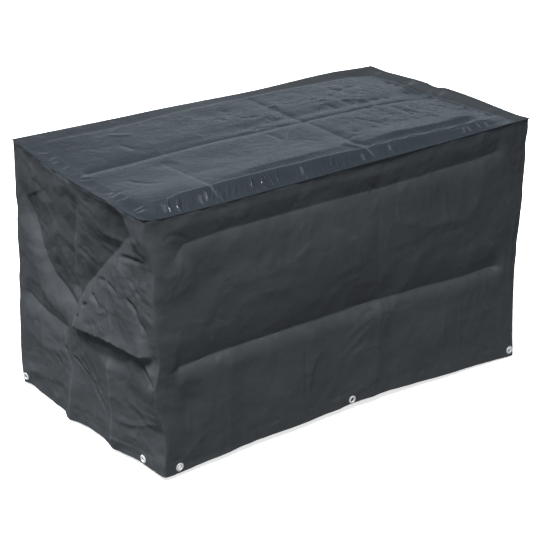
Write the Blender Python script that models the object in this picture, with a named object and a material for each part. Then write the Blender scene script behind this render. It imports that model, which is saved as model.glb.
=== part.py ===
"""A fitted cover for a gas barbecue, in woven polyethylene sheeting, as it stands over the grill it hides.

Five panels (a top and four walls) are joined along the top's edges and down the four corners. A doubled
hem strip with metal eyelets runs round the bottom. The walls carry the creases left by the folded pack:
level ones on the long sides, and the V of a gusset on the short sides.

The part's frame is in metres, +Z up. The origin is where the middle of the top touches the grill's lid.
-Y is the front, +X the right-hand end. All the tables below are in millimetres.

Each wall is worked out from a flat pattern. s runs from the wall's left end to its right end, as seen from
outside, and d runs down from the top edge. wall_point() says where a point of that pattern hangs in space.
"""

import bmesh
import bpy
from math import ceil, cos, hypot, inf, pi, radians, sin
from mathutils import Vector
from mathutils.geometry import delaunay_2d_cdt

MM = 0.001
ROOT = "grill_cover"

# Driving dimensions, in millimetres.
LENGTH = 1030.0
WIDTH = 578.0
HEIGHT = 590.0
HEM_HEIGHT = 30.0
SHEET = 2.0
HEM_PROUD = 0.5             # the doubled hem stands this far out of the wall on each side
GAP = 0.3                   # between neighbouring pieces
MITRE_SHARE = 0.75          # a mitred end is drawn back by this share of the gap
EDGE_LEVEL = -3.0           # height of the corners' mean plane over the origin
WALL_START = SHEET + 2 * GAP  # the walls begin this far under the top's edge
BAND_WIDTH = 48.0           # the seam allowance that shows as a raised band round the top
BAND_STEP = 4.0             # the band's inner edge slopes down over this width
BAND_LIFT = 1.0
BAND_START = 12.0           # its rise is spread over this width at the top's edge

# The eyelets, in millimetres.
EYELET_BARREL = 5.8
EYELET_STEPS = 16
EYELET_FLAT = 9.9           # the hem is flat this far round an eyelet
EYELET_FADE = 11.2          # and has its own shape again from here
EYELET_REACH = 8.0          # its slope is taken from points this far out on each side
EYELET_SECTION = (          # the ring's section: (radius, distance out of the hem's middle)
    (4.75, 2.4), (6.2, 2.9), (8.6, 2.9), (9.8, 1.8), (5.8, 1.8), (5.8, -1.8), (9.2, -1.8), (8.8, -2.4),
    (4.75, -2.4))

# How finely the patterns are divided, in millimetres.
EDGE_STEP = 43.0
CORNER_TURN = 15.0          # the top's edge has a point this near each corner
EDGE_CLEAR = 14.0           # no free point lies nearer than this to a pattern's edge
FILL_STEP = 56.0
CLEAR_STEP = 17.0           # no free point of a pattern lies nearer than this to another
CLEAR_LINE = 9.0            # or than this to a line that edges follow
MEETING = 0.01              # points of a pattern nearer than this are one point
SHARP_DEGREES = 40          # edges bent by more than this are shaded as sharp
CORNER_DEPTHS = (0, 30, 62, 94, 118, 165, 224, 262, 295, 319, 352, 389, 425, 460, 496, 530, 560)
HEM_DEPTHS = (575,)         # points of a hem's ends between its top and bottom

# The four corners, in order round the cover: the top of each and its foot, as (x, y, z).
CORNERS = {
    "front_left": {"top": (-523, -277, -6), "foot": (-501, -296, -587)},
    "front_right": {"top": (515, -286, 8), "foot": (510, -288, -594)},
    "back_right": {"top": (517, 287, -1), "foot": (508, 288, -592)},
    "back_left": {"top": (-509, 288, 5), "foot": (-519, 290, -593)},
}

# How each corner line strays from straight on its way down: (depth, dx, dy).
CORNER_STRAY = {
    "front_left": ((0, 0, 0), (30, -4, 2), (62, 1, -3), (94, 5, -6), (118, 7, -7), (165, 5, -5), (224, 3, -4),
                   (319, 6, -4), (352, 0, 0), (389, -7, 5), (425, -7, 5), (496, 4, -3), (590, 0, 0)),
    "front_right": ((0, 0, 0), (94, -1, 1), (165, -2, 1), (295, -6, 3), (352, -8, 4), (425, -7, 4),
                    (530, -4, 2), (590, 0, 0)),
    "back_right": ((0, 0, 0), (165, -4, -3), (352, -9, -5), (460, -6, -3), (590, 0, 0)),
    "back_left": ((0, -1, 0), (94, 0, 0), (165, 1, 0), (295, 0, 0), (352, -1, 0), (425, -3, 1),
                  (496, -4, 1), (560, -3, 1), (590, 0, 0)),
}
STRAY_REACH = 150.0         # a corner's straying dies out this far along the wall
FOLD_FADE = 32.0            # a fold dies out over this length at its ends
CORNER_FADE = 26.0          # folds and swells die out this near a corner
TOP_FADE = 16.0             # and this near the top's edge

# The walls, in order round the cover. "out" points away from the grill and "run" along the wall.
# edge and hem rows are (share of the wall's length, outwards, up), measured from the straight line
# between the two corners. A fold's points run from left to right or from bottom to top, "height" is
# outwards, and "over" and "under" are its widths on its upper or left side and on its lower or right
# side. A swell is a broad rise of the cloth: (s, d, half-length, half-height, rise). An eyelet's place
# is (s, height of its centre above the bottom edge).
WALLS = {
    "front": {
        "ends": ("front_left", "front_right"), "length": LENGTH, "out": (0, -1), "run": (1, 0),
        "edge": ((0, 0, 0), (.015, 5, -1.5), (.042, 7, -3.2), (.17, 6.3, -4.4), (.36, 5, -3.6),
                 (.55, 5, -1.8), (.75, 2.6, -1.6), (.9, .7, -.6), (1, 0, 0)),
        "hem": ((0, 0, 0), (.08, -3, 2), (.17, -8, 5), (.29, -11, 6.5), (.42, -13, 7.5), (.5, -17, 9.5),
                (.575, -20, 11.5), (.67, -14, 8.5), (.75, -11, 6.5), (.87, -7, 4), (.96, -2, 1), (1, 0, 0)),
        "folds": {
            "upper_crease": {"height": -6, "over": 42, "under": 48, "points": (
                (52, 104), (88, 74), (170, 68), (245, 69), (375, 69), (506, 72), (590, 75), (636, 74),
                (767, 71), (865, 69), (965, 62))},
            "lower_crease": {"height": -10, "over": 66, "under": 40, "points": (
                (30, 350), (107, 348), (189, 347), (308, 348), (443, 349), (530, 351), (602, 353),
                (707, 352), (839, 354), (990, 350))},
            "main_upright": {"height": 4, "over": 90, "under": 50, "points": (
                (592, 590), (594, 470), (602, 353))},
            "left_upright": {"height": 2, "over": 60, "under": 40, "points": (
                (171, 590), (175, 460), (189, 347))},
        },
        "swells": ((520, 205, 480, 120, 9), (300, 460, 260, 90, 3), (800, 470, 190, 90, 4),
                   (82, 440, 48, 75, -9), (70, 150, 60, 60, 5)),
        "eyelets": ((38, 13.5), (528, 11.3), (1017.5, 16)),
    },
    "right": {
        "ends": ("front_right", "back_right"), "length": WIDTH, "out": (1, 0), "run": (0, 1),
        "edge": ((0, 0, 0), (.07, 1, -1.9), (.21, 3, .5), (.36, 5, 3.5), (.5, 4, 5), (.57, 0, .5),
                 (.64, 2, 3), (.79, 1, .5), (.9, 0, -1.6), (1, 0, 0)),
        "hem": ((0, 0, 0), (.15, 2, -1), (.34, 3, -4), (.5, 2, -2), (.67, 3, -4), (.85, 2, -1), (1, 0, 0)),
        "folds": {
            "gusset_left": {"height": -9, "over": 85, "under": 70, "points": (
                (48, 62), (115, 150), (190, 240), (250, 290), (292, 318))},
            "gusset_right": {"height": -9, "over": 85, "under": 70, "points": (
                (292, 318), (350, 245), (420, 160), (480, 100), (528, 52))},
            "middle_crease": {"height": -3, "over": 60, "under": 60, "points": (
                (292, 318), (290, 170), (288, 30))},
            "level_crease": {"height": -5, "over": 40, "under": 34, "points": (
                (15, 352), (120, 350), (220, 352), (292, 348), (380, 350), (470, 352), (562, 348))},
            "lower_left_upright": {"height": 6, "over": 60, "under": 60, "points": (
                (196, 590), (200, 480), (206, 380))},
            "lower_right_upright": {"height": 6, "over": 60, "under": 60, "points": (
                (388, 590), (386, 480), (384, 380))},
        },
        "swells": ((120, 230, 90, 90, 6), (470, 230, 90, 90, 6)),
        "eyelets": ((12.5, 14), (500, 13.5)),
    },
    "back": {
        "ends": ("back_right", "back_left"), "length": LENGTH, "out": (0, 1), "run": (-1, 0),
        "edge": ((0, 0, 0), (.06, 0, 1.6), (.125, 0, 4.2), (.19, 1, 2.9), (.25, 1, 1), (.375, 1, -2.2),
                 (.5, 1, -1), (.625, 1, 0), (.75, 0, -.5), (.875, 0, -.2), (1, 0, 0)),
        "hem": ((0, 0, 0), (.12, -4, 2), (.28, -9, 5), (.43, -14, 8), (.6, -10, 6), (.8, -6, 4), (1, 0, 0)),
        "folds": {
            "upper_crease": {"height": -5, "over": 42, "under": 46, "points": (
                (50, 58), (160, 61), (270, 63), (370, 66), (470, 64), (570, 67), (670, 66), (780, 70),
                (880, 71), (975, 73))},
            "lower_crease": {"height": -8, "over": 60, "under": 36, "points": (
                (38, 342), (150, 339), (260, 336), (360, 334), (445, 333), (560, 335), (660, 335), (770, 338),
                (880, 341), (990, 345))},
            "main_upright": {"height": 4, "over": 60, "under": 60, "points": (
                (443, 590), (444, 470), (445, 333))},
            "right_upright": {"height": 3, "over": 60, "under": 60, "points": (
                (846, 590), (848, 460), (848, 345))},
        },
        "swells": ((520, 205, 480, 120, 8), (250, 460, 200, 90, 3), (680, 465, 200, 90, 3)),
        "eyelets": ((38, 13), (528, 12), (1017.5, 14)),
    },
    "left": {
        "ends": ("back_left", "front_left"), "length": WIDTH, "out": (-1, 0), "run": (0, -1),
        "edge": ((0, 0, 0), (.1, 2.6, -3), (.29, 4.9, -6.9), (.47, 6, -8.4), (.64, 5, -7), (.81, 5.2, -2.7),
                 (.925, 6, -1.8), (.974, 5.3, -1), (1, 0, 0)),
        "hem": ((0, 0, 0), (.05, -2, 2), (.15, 0, 0), (.25, 1, -1.5), (.39, 3, -1.5), (.5, 2, -.5),
                (.69, 4, -1), (.78, 3, -1), (.9, 2, -1.5), (1, 0, 0)),
        "folds": {
            "gusset": {"height": -13, "over": 85, "under": 70, "points": (
                (22, 76), (50, 120), (84, 161), (115, 201), (141, 232), (174, 266), (205, 281),
                (236, 294), (254, 304), (264, 288), (297, 241), (339, 199), (373, 170), (423, 124),
                (478, 77), (527, 46))},
            "middle_crease": {"height": -5, "over": 48, "under": 60, "points": (
                (264, 288), (266, 222), (280, 148), (292, 84), (298, 24))},
            "level_crease": {"height": -6, "over": 55, "under": 40, "points": (
                (8, 352), (52, 361), (118, 368), (205, 374), (236, 371))},
            "bulge_edge": {"height": 11, "over": 105, "under": 15, "points": (
                (240, 352), (305, 334), (344, 328), (446, 317), (536, 315), (566, 306))},
            "lower_left_upright": {"height": 9, "over": 50, "under": 72, "points": (
                (228, 590), (240, 495), (245, 425))},
            "lower_right_upright": {"height": 9, "over": 52, "under": 80, "points": (
                (400, 590), (410, 450), (404, 362))},
        },
        "swells": ((110, 260, 75, 90, 6), (490, 210, 80, 95, 7), (120, 470, 90, 90, 3)),
        "eyelets": ((12.5, 16), (500, 13.5)),
    },
}
WALL_ORDER = ("front", "right", "back", "left")

# The top's crown: its rise over a surface stretched between the four edges, in rows across the cover.
CROWN_Y = (289, 242, 120, 0, -120, -242, -289)
CROWN = (
    # x, back edge, back inner, mid back, middle, mid front, front inner, front edge
    (-515, 0, 0, 0, 0, 0, 0, 0),
    (-468, 0, 2, 3, 4, 8, 16, 0),
    (-300, 0, 1, 6, 9, 15, 23, 0),
    (-150, 0, 3, 8, 12, 16, 20, 0),
    (0, 0, 5, 9, 12, 14, 17, 0),
    (130, 0, 6, 9, 11, 12, 14, 0),
    (250, 0, 2, 5, 6, 8, 10, 0),
    (370, 0, -2, -1, -1, 3, 7, 0),
    (468, 0, -6, -7, -9, -6, -4, 0),
    (515, 0, 0, 0, 0, 0, 0, 0),
)
# Creases of the top, in plan.
TOP_FOLDS = {
    "long_crease": {"height": -4, "over": 40, "under": 40, "points": (
        (-492, 16), (-400, 15), (-300, 10), (-200, 5), (-100, 0), (0, -4), (78, -5), (170, -6),
        (270, -8), (370, -10), (488, -13))},
    "cross_crease": {"height": -3, "over": 40, "under": 34, "points": (
        (72, -285), (74, -240), (76, -120), (78, 0), (81, 120), (84, 240))},
    "left_cross_crease": {"height": -2, "over": 40, "under": 40, "points": (
        (-330, -285), (-328, -235), (-326, -120), (-324, -20))},
}

# Colours as (red, green, blue), roughness and metallic value of each material.
FINISHES = {
    "cover_top": ((0.093, 0.110, 0.129), 0.36, 0.0),
    "cover_wall": ((0.036, 0.041, 0.047), 0.45, 0.0),
    "cover_hem": ((0.040, 0.045, 0.051), 0.45, 0.0),
    "eyelet_metal": ((0.72, 0.73, 0.75), 0.28, 1.0),
}


def smooth_step(x):
    """0 below 0, 1 above 1, and an even curve between."""
    x = min(max(x, 0.0), 1.0)
    return x * x * (3 - 2 * x)


def between(a, b, share):
    """The point that lies this share of the way from a to b."""
    return tuple(p + (q - p) * share for p, q in zip(a, b))


def read(rows, x, column=1):
    """The value at x of a table whose first column rises, on a smooth curve that never overshoots."""
    xs = [row[0] for row in rows]
    ys = [row[column] for row in rows]
    if x <= xs[0]:
        return ys[0]
    if x >= xs[-1]:
        return ys[-1]
    i = max(k for k in range(len(xs) - 1) if xs[k] <= x)
    slope = [(ys[k + 1] - ys[k]) / (xs[k + 1] - xs[k]) for k in range(len(xs) - 1)]

    def tangent(k):
        if k in (0, len(xs) - 1) or slope[k - 1] * slope[k] <= 0:
            return 0.0
        return 2 * slope[k - 1] * slope[k] / (slope[k - 1] + slope[k])

    h = xs[i + 1] - xs[i]
    t = (x - xs[i]) / h
    return (ys[i] * (1 + 2 * t) * (1 - t) ** 2 + h * tangent(i) * t * (1 - t) ** 2
            + ys[i + 1] * t * t * (3 - 2 * t) - h * tangent(i + 1) * t * t * (1 - t))


def from_line(spot, first, last):
    """How far a point is from a line, the share of the line at the nearest place, and which side it is on."""
    run_x, run_y = last[0] - first[0], last[1] - first[1]
    x, y = spot[0] - first[0], spot[1] - first[1]
    t = min(max((x * run_x + y * run_y) / (run_x ** 2 + run_y ** 2), 0.0), 1.0)
    return hypot(x - run_x * t, y - run_y * t), t, run_x * y - run_y * x


def fold_rise(fold, s, d, down=1):
    """How far a fold lifts the cloth at (s, d). It dies out at its ends, except where it meets the hem.

    down is 1 where d grows downwards, as on a wall, and -1 where it grows upwards, as on the top.
    """
    points = fold["points"]
    best, along, walked, side = inf, 0.0, 0.0, 0.0
    for first, last in zip(points, points[1:]):
        far, t, turn = from_line((s, d), first, last)
        size = hypot(last[0] - first[0], last[1] - first[1])
        if far < best:
            best, along, side = far, walked + size * t, turn * down
        walked += size
    reach = fold["over"] if side < 0 else fold["under"]
    if best >= reach:
        return 0.0
    from_start = walked if points[0][1] == HEIGHT else along
    fade = smooth_step(min(from_start, walked - along) / FOLD_FADE)
    return fold["height"] * (1 - best / reach) * fade


def swell_rise(swell, s, d):
    """How far a broad swell lifts the cloth at (s, d)."""
    centre_s, centre_d, half_s, half_d, rise = swell
    r = hypot((s - centre_s) / half_s, (d - centre_d) / half_d)
    return rise * (1 - r * r) ** 2 if r < 1 else 0.0


def edge_point(side, share, level):
    """A point of a wall's top edge (level "top") or bottom edge (level "foot")."""
    wall = WALLS[side]
    first, last = (CORNERS[name][level] for name in wall["ends"])
    rows = wall["edge"] if level == "top" else wall["hem"]
    x, y, z = between(first, last, share)
    out = read(rows, share, 1)
    return x + wall["out"][0] * out, y + wall["out"][1] * out, z + read(rows, share, 2)


def wall_point(side, s, d):
    """Where the point (s, d) of a wall's pattern hangs, in millimetres."""
    wall = WALLS[side]
    share = s / wall["length"]
    top, foot = edge_point(side, share, "top"), edge_point(side, share, "foot")
    x, y, z = between(top, foot, d / HEIGHT)
    for name, away in zip(wall["ends"], (s, wall["length"] - s)):
        hold = max(0.0, 1 - away / STRAY_REACH) ** 2
        x += read(CORNER_STRAY[name], d, 1) * hold
        y += read(CORNER_STRAY[name], d, 2) * hold
    out = sum(fold_rise(fold, s, d) for fold in wall["folds"].values())
    out += sum(swell_rise(swell, s, d) for swell in wall["swells"])
    out *= smooth_step(min(s, wall["length"] - s) / CORNER_FADE) * smooth_step(d / TOP_FADE)
    return x + wall["out"][0] * out, y + wall["out"][1] * out, z


def top_point(p, q):
    """Where the point (p, q) of the top's pattern lies, without its seam band. Both run from the middle."""
    u, v = p / LENGTH + 0.5, q / WIDTH + 0.5
    tops = {name: corner["top"] for name, corner in CORNERS.items()}
    along = between(edge_point("front", u, "top"), edge_point("back", 1 - u, "top"), v)
    across = between(edge_point("left", 1 - v, "top"), edge_point("right", v, "top"), u)
    low = between(tops["front_left"], tops["front_right"], u)
    high = between(tops["back_left"], tops["back_right"], u)
    x, y, z = (a + b - c for a, b, c in zip(along, across, between(low, high, v)))
    crown = [(CROWN_Y[k], read(CROWN, p, k + 1)) for k in range(len(CROWN_Y))]
    z += read(sorted(crown), q)
    folds = sum(fold_rise(fold, p, q, -1) for fold in TOP_FOLDS.values())
    return x, y, z + folds * smooth_step(inside_edge(p, q) / TOP_FADE) + EDGE_LEVEL


def inside_edge(p, q):
    """How far a point of the top's pattern is from the nearest edge."""
    return min(LENGTH / 2 - abs(p), WIDTH / 2 - abs(q))


def band_rise(p, q):
    """How far the seam band lifts the top's upper face."""
    inside = inside_edge(p, q)
    flat = smooth_step((BAND_WIDTH + BAND_STEP - inside) / BAND_STEP)
    return BAND_LIFT * flat * smooth_step(inside / BAND_START)


def spread(length, extras=()):
    """Even stations along an edge, with the extra ones put in and the even ones beside them left out."""
    count = ceil(length / EDGE_STEP)
    even = [length * i / count for i in range(count + 1)]
    kept = [s for s in even if s in (0, length) or all(abs(s - e) > CLEAR_STEP for e in extras)]
    return sorted(kept + list(extras))


def top_stations(length):
    """The stations of a top edge, with one close to each corner, where the edge turns."""
    return spread(length, (CORNER_TURN, length - CORNER_TURN))


def hem_stations(side):
    """The stations of a wall's bottom edge, with one on each fold that ends there and one on its slopes."""
    wall = WALLS[side]
    extras = []
    for fold in wall["folds"].values():
        foot_s, foot_d = fold["points"][0]
        if foot_d == HEIGHT:
            extras += [foot_s, foot_s - fold["over"] / 2, foot_s + fold["under"] / 2]
    return spread(wall["length"], extras)


def divide(loops, lines, loose, clear=CLEAR_STEP, holes=()):
    """Cut a flat pattern into triangles, with edges along the closed loops and the lines.

    A loose point nearer than clear to another point, or close to a loop or line, is left out, and so is
    what lies in a hole (centre, radius).
    """
    points, edges = [], []
    for chain, closed in [(loop, True) for loop in loops] + [(line, False) for line in lines]:
        first = len(points)
        points.extend(chain)
        edges.extend((first + i, first + i + 1) for i in range(len(chain) - 1))
        if closed:
            edges.append((first + len(chain) - 1, first))
    for spot in loose:
        near_line = any(from_line(spot, points[a], points[b])[0] < min(clear, CLEAR_LINE) for a, b in edges)
        if not near_line and all(hypot(spot[0] - p[0], spot[1] - p[1]) > clear for p in points):
            points.append(spot)
    verts, _, faces, *_ = delaunay_2d_cdt([Vector(p) for p in points], edges, [], 0, MEETING)
    places = [(v.x, v.y) for v in verts]

    def in_hole(face):
        x, y = (sum(places[i][k] for i in face) / 3 for k in (0, 1))
        return any(hypot(x - spot[0], y - spot[1]) < radius for spot, radius in holes)

    return places, [face for face in faces if not in_hole(face)]


def circle(centre, radius, steps):
    """Points of a circle in a flat pattern."""
    turns = [2 * pi * i / steps for i in range(steps)]
    return [(centre[0] + radius * cos(a), centre[1] + radius * sin(a)) for a in turns]


def flanks(fold):
    """Loose points at the foot of both slopes of a fold."""
    found = []
    points = fold["points"]
    for i, (s, d) in enumerate(points):
        (s0, d0), (s1, d1) = points[max(i - 1, 0)], points[min(i + 1, len(points) - 1)]
        size = hypot(s1 - s0, d1 - d0)
        for reach in (-fold["over"], fold["under"]):
            found.append((s - (d1 - d0) / size * reach, d + (s1 - s0) / size * reach))
    return found


def fill(low, high):
    """An even field of loose points between two corners of a pattern, every other row shifted."""
    wide, tall = high[0] - low[0], high[1] - low[1]
    rows, count = int(tall / FILL_STEP), int(wide / FILL_STEP)
    return [(low[0] + wide * (i + (0.25 if j % 2 else 0.75)) / count, low[1] + tall * (j + 0.5) / rows)
            for j in range(rows) for i in range(count)]


def make_shell(name, faces, outer, inner, finish):
    """A closed sheet from its triangles and the points of its two faces, in millimetres."""
    count = len(outer)
    sides = {(a, b) for face in faces for a, b in zip(face, face[1:] + face[:1])}
    shell = bmesh.new()
    verts = [shell.verts.new(Vector(p) * MM) for p in outer + inner]
    for face in faces:
        shell.faces.new([verts[i] for i in face])
        shell.faces.new([verts[i + count] for i in reversed(face)])
    for a, b in sides:
        if (b, a) not in sides:
            shell.faces.new((verts[b], verts[a], verts[a + count]))
            shell.faces.new((verts[b], verts[a + count], verts[b + count]))
    loose = [v for v in shell.verts if not v.link_faces]
    bmesh.ops.delete(shell, geom=loose, context="VERTS")
    bmesh.ops.recalc_face_normals(shell, faces=shell.faces)
    place_mesh(name, shell, finish)


def place_mesh(name, work, finish):
    """Turn a bmesh into an object of this name and finish, under the cover's empty."""
    mesh = bpy.data.meshes.new(name)
    work.to_mesh(mesh)
    work.free()
    mesh.shade_smooth()
    mesh.set_sharp_from_angle(angle=radians(SHARP_DEGREES))
    mesh.materials.append(bpy.data.materials[finish])
    piece = bpy.data.objects.new(name, mesh)
    piece.parent = bpy.data.objects[ROOT]
    bpy.context.scene.collection.objects.link(piece)


def neighbours(side):
    """The outward directions of the walls at this wall's left and right ends."""
    i = WALL_ORDER.index(side)
    return WALLS[WALL_ORDER[i - 1]]["out"], WALLS[WALL_ORDER[(i + 1) % 4]]["out"]


def shifted(side, s, d, out):
    """wall_point() moved outwards by out, and mitred where the wall meets the next one."""
    wall = WALLS[side]
    x, y, z = wall_point(side, s, d)
    x, y = x + wall["out"][0] * out, y + wall["out"][1] * out
    pull = GAP * MITRE_SHARE
    before, after = neighbours(side)
    ends = ((s < MEETING, before, 1), (s > wall["length"] - MEETING, after, -1))
    for at_end, beside, sign in ends:
        if at_end:
            x += beside[0] * out + wall["run"][0] * pull * sign
            y += beside[1] * out + wall["run"][1] * pull * sign
    return x, y, z + EDGE_LEVEL


def make_wall(side):
    """One wall, from just under the top's edge down to the hem."""
    wall = WALLS[side]
    length, low = wall["length"], HEIGHT - HEM_HEIGHT - GAP
    depths = CORNER_DEPTHS[1:-1]
    loop = [(s, WALL_START) for s in top_stations(length)] + [(length, d) for d in depths]
    loop += [(s, low) for s in reversed(hem_stations(side))] + [(0, d) for d in reversed(depths)]
    lines = [[(s, min(d, low)) for s, d in clip(fold["points"], low)] for fold in wall["folds"].values()]
    loose = [spot for fold in wall["folds"].values() for spot in flanks(fold)]
    loose += fill((0, WALL_START), (length, low))
    loose = [(s, d) for s, d in loose if min(s, length - s, d, low - d) > EDGE_CLEAR]
    places, faces = divide([loop], lines, loose)
    outer = [shifted(side, s, d, 0.0) for s, d in places]
    inner = [shifted(side, s, d, -SHEET) for s, d in places]
    make_shell(side + "_panel", faces, outer, inner, "cover_wall")


def clip(points, low):
    """A fold's points with the part below this depth cut off."""
    kept = [p for p in points if p[1] < low]
    if len(kept) < len(points):
        (s0, d0), (s1, d1) = points[0], kept[0]
        kept.insert(0, (s0 + (s1 - s0) * (low - d0) / (d1 - d0), low))
    return kept


def eyelet_frame(side, s, d):
    """The middle of the hem at (s, d), and unit vectors along, down and out of the hem there."""
    reach = EYELET_REACH
    centre = Vector(shifted(side, s, d, -SHEET / 2))
    along = Vector(shifted(side, s + reach, d, 0)) - Vector(shifted(side, s - reach, d, 0))
    along.normalize()
    down = Vector(shifted(side, s, d + reach, 0)) - Vector(shifted(side, s, d - reach, 0))
    down = (down - along * down.dot(along)).normalized()
    return centre, along, down, down.cross(along)


def make_hem(side):
    """The hem strip of one wall, with its eyelet holes, and flat round each of them."""
    wall = WALLS[side]
    length, top = wall["length"], HEIGHT - HEM_HEIGHT
    spots = [(s, HEIGHT - up) for s, up in wall["eyelets"]]
    stations = hem_stations(side)
    loop = [(s, top) for s in stations] + [(length, d) for d in HEM_DEPTHS]
    loop += [(s, HEIGHT) for s in reversed(stations)] + [(0, d) for d in reversed(HEM_DEPTHS)]
    holes = [circle(spot, EYELET_BARREL + GAP, EYELET_STEPS) for spot in spots]
    rings = [place for spot in spots for place in circle(spot, EYELET_FLAT, EYELET_STEPS)]
    places, faces = divide([loop] + holes, [], rings, 1.0, [(spot, EYELET_BARREL) for spot in spots])
    frames = [(spot, eyelet_frame(side, *spot)) for spot in spots]
    half = SHEET / 2 + HEM_PROUD
    outer, inner = [], []
    for s, d in places:
        front = Vector(shifted(side, s, d, HEM_PROUD))
        back = Vector(shifted(side, s, d, -SHEET - HEM_PROUD))
        for (es, ed), (centre, along, down, out) in frames:
            hold = smooth_step((EYELET_FADE - hypot(s - es, d - ed)) / (EYELET_FADE - EYELET_FLAT))
            flat = centre + along * (s - es) + down * (d - ed)
            front = front.lerp(flat + out * half, hold)
            back = back.lerp(flat - out * half, hold)
        outer.append(front)
        inner.append(back)
    make_shell(side + "_hem", faces, outer, inner, "cover_hem")


def make_eyelet(number, side, s, d):
    """A rolled metal ring, flanged on both faces of the hem."""
    centre, along, down, out = eyelet_frame(side, s, d)
    ring = bmesh.new()
    turns = [2 * pi * i / EYELET_STEPS for i in range(EYELET_STEPS)]
    rows = [[ring.verts.new((centre + (along * cos(a) + down * sin(a)) * radius + out * rise) * MM)
             for radius, rise in EYELET_SECTION] for a in turns]
    for row, following in zip(rows, rows[1:] + rows[:1]):
        for i in range(len(row)):
            k = (i + 1) % len(row)
            ring.faces.new((row[i], row[k], following[k], following[i]))
    bmesh.ops.recalc_face_normals(ring, faces=ring.faces)
    place_mesh(f"eyelet_{number:02d}", ring, "eyelet_metal")


def make_top():
    """The top, with its seam band and creases."""
    half_x, half_y = LENGTH / 2, WIDTH / 2

    def frame(inside):
        """A closed loop this far inside the edge, with as many points as the edge has."""
        share_x, share_y = (half_x - inside) / half_x, (half_y - inside) / half_y
        xs = [(s - half_x) * share_x for s in top_stations(LENGTH)]
        ys = [(s - half_y) * share_y for s in top_stations(WIDTH)]
        return ([(x, ys[0]) for x in xs[:-1]] + [(xs[-1], y) for y in ys[:-1]]
                + [(x, ys[-1]) for x in xs[:0:-1]] + [(xs[0], y) for y in ys[:0:-1]])

    loops = [frame(inside) for inside in (0, BAND_WIDTH, BAND_WIDTH + BAND_STEP)]
    lines = [fold["points"] for fold in TOP_FOLDS.values()]
    loose = [spot for fold in TOP_FOLDS.values() for spot in flanks(fold)] + frame(BAND_WIDTH / 2)
    loose += fill((-half_x, -half_y), (half_x, half_y))
    loose = [spot for spot in loose if inside_edge(*spot) > EDGE_CLEAR]
    places, faces = divide(loops, lines, loose)
    under = [Vector(top_point(p, q)) for p, q in places]
    outer = [spot + Vector((0, 0, band_rise(*place))) for spot, place in zip(under, places)]
    inner = [spot - Vector((0, 0, SHEET)) for spot in under]
    make_shell("top_panel", faces, outer, inner, "cover_top")


def make_finishes():
    """One material for each kind of surface."""
    for name, (colour, roughness, metallic) in FINISHES.items():
        material = bpy.data.materials.new(name)
        material.use_nodes = True
        shader = material.node_tree.nodes["Principled BSDF"]
        shader.inputs["Base Color"].default_value = (*colour, 1.0)
        shader.inputs["Roughness"].default_value = roughness
        shader.inputs["Metallic"].default_value = metallic


def main():
    for piece in list(bpy.data.objects):
        bpy.data.objects.remove(piece, do_unlink=True)
    bpy.context.scene.collection.objects.link(bpy.data.objects.new(ROOT, None))
    make_finishes()
    make_top()
    number = 0
    for side in WALL_ORDER:
        make_wall(side)
        make_hem(side)
        for s, up in WALLS[side]["eyelets"]:
            number += 1
            make_eyelet(number, side, s, HEIGHT - up)


main()
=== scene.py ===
"""The looks of a fitted barbecue cover: its cloth, eyelets and finishes, with the camera and studio light.

The cloth is woven polyethylene sheeting about 1 mm thick here. Its five panels are fine sheets on the folds
of the solids that they stand for, but folded deeper, with the smaller creases, puckers and crumples of the
real cloth.

Lengths are in millimetres, in the part's own frame: +Z up, -Y the front, +X the right-hand end. A wall is
worked out from a flat pattern: s runs from its left end to its right end, as seen from outside, and d runs
down from the top edge. The top's pattern has p along +X and q along +Y, both from its middle.
"""

from math import cos, pi, radians, sin

import bpy
import numpy as np
from mathutils import Matrix, Vector


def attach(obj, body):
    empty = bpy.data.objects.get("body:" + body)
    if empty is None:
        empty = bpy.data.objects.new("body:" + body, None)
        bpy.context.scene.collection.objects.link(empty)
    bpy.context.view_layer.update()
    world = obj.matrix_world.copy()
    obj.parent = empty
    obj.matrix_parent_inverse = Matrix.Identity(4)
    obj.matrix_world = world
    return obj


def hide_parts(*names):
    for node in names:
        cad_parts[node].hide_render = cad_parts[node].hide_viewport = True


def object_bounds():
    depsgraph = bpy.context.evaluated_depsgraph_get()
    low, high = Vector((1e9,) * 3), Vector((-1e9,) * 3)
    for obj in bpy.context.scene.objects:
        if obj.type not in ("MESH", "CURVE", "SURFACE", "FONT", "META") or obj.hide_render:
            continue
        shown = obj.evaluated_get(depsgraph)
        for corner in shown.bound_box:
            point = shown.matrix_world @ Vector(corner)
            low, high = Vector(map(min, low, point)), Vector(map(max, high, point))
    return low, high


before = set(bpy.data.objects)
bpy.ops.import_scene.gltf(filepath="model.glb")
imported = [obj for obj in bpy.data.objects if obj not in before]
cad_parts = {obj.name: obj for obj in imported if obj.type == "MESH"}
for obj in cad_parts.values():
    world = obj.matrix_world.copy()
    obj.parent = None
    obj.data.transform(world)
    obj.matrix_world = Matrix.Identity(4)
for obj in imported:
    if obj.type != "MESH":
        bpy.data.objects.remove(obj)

CAD_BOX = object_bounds()

MM = 0.001

# The solids' driving dimensions.
LENGTH = 1030.0
WIDTH = 578.0
HEIGHT = 590.0
HEM_HEIGHT = 30.0
EDGE_LEVEL = -3.0           # height of the corners' mean plane over the origin
BAND_WIDTH = 48.0           # the seam allowance that shows as a raised band round the top

# The cloth's own sizes.
THICK = 0.9
HEM_GAP = 0.08              # between the wall's cloth and the turned-in hem behind it
HEM_THICK = 0.7
CORNER_ROUND = 3.0          # the walls turn round the corners at this radius
LIP_ROUND = 1.7             # the top's edge curls down at this radius
LIP_PROUD = 2.4             # and stands this far out of the walls
EYELET_FLAT = 9.9           # the cloth is flat this far round an eyelet
EYELET_FADE = 12.4          # and hangs freely from here
EYELET_REACH = 8.0          # its slope is taken from points this far out on each side
EYELET_HOLE = 5.55

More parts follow.
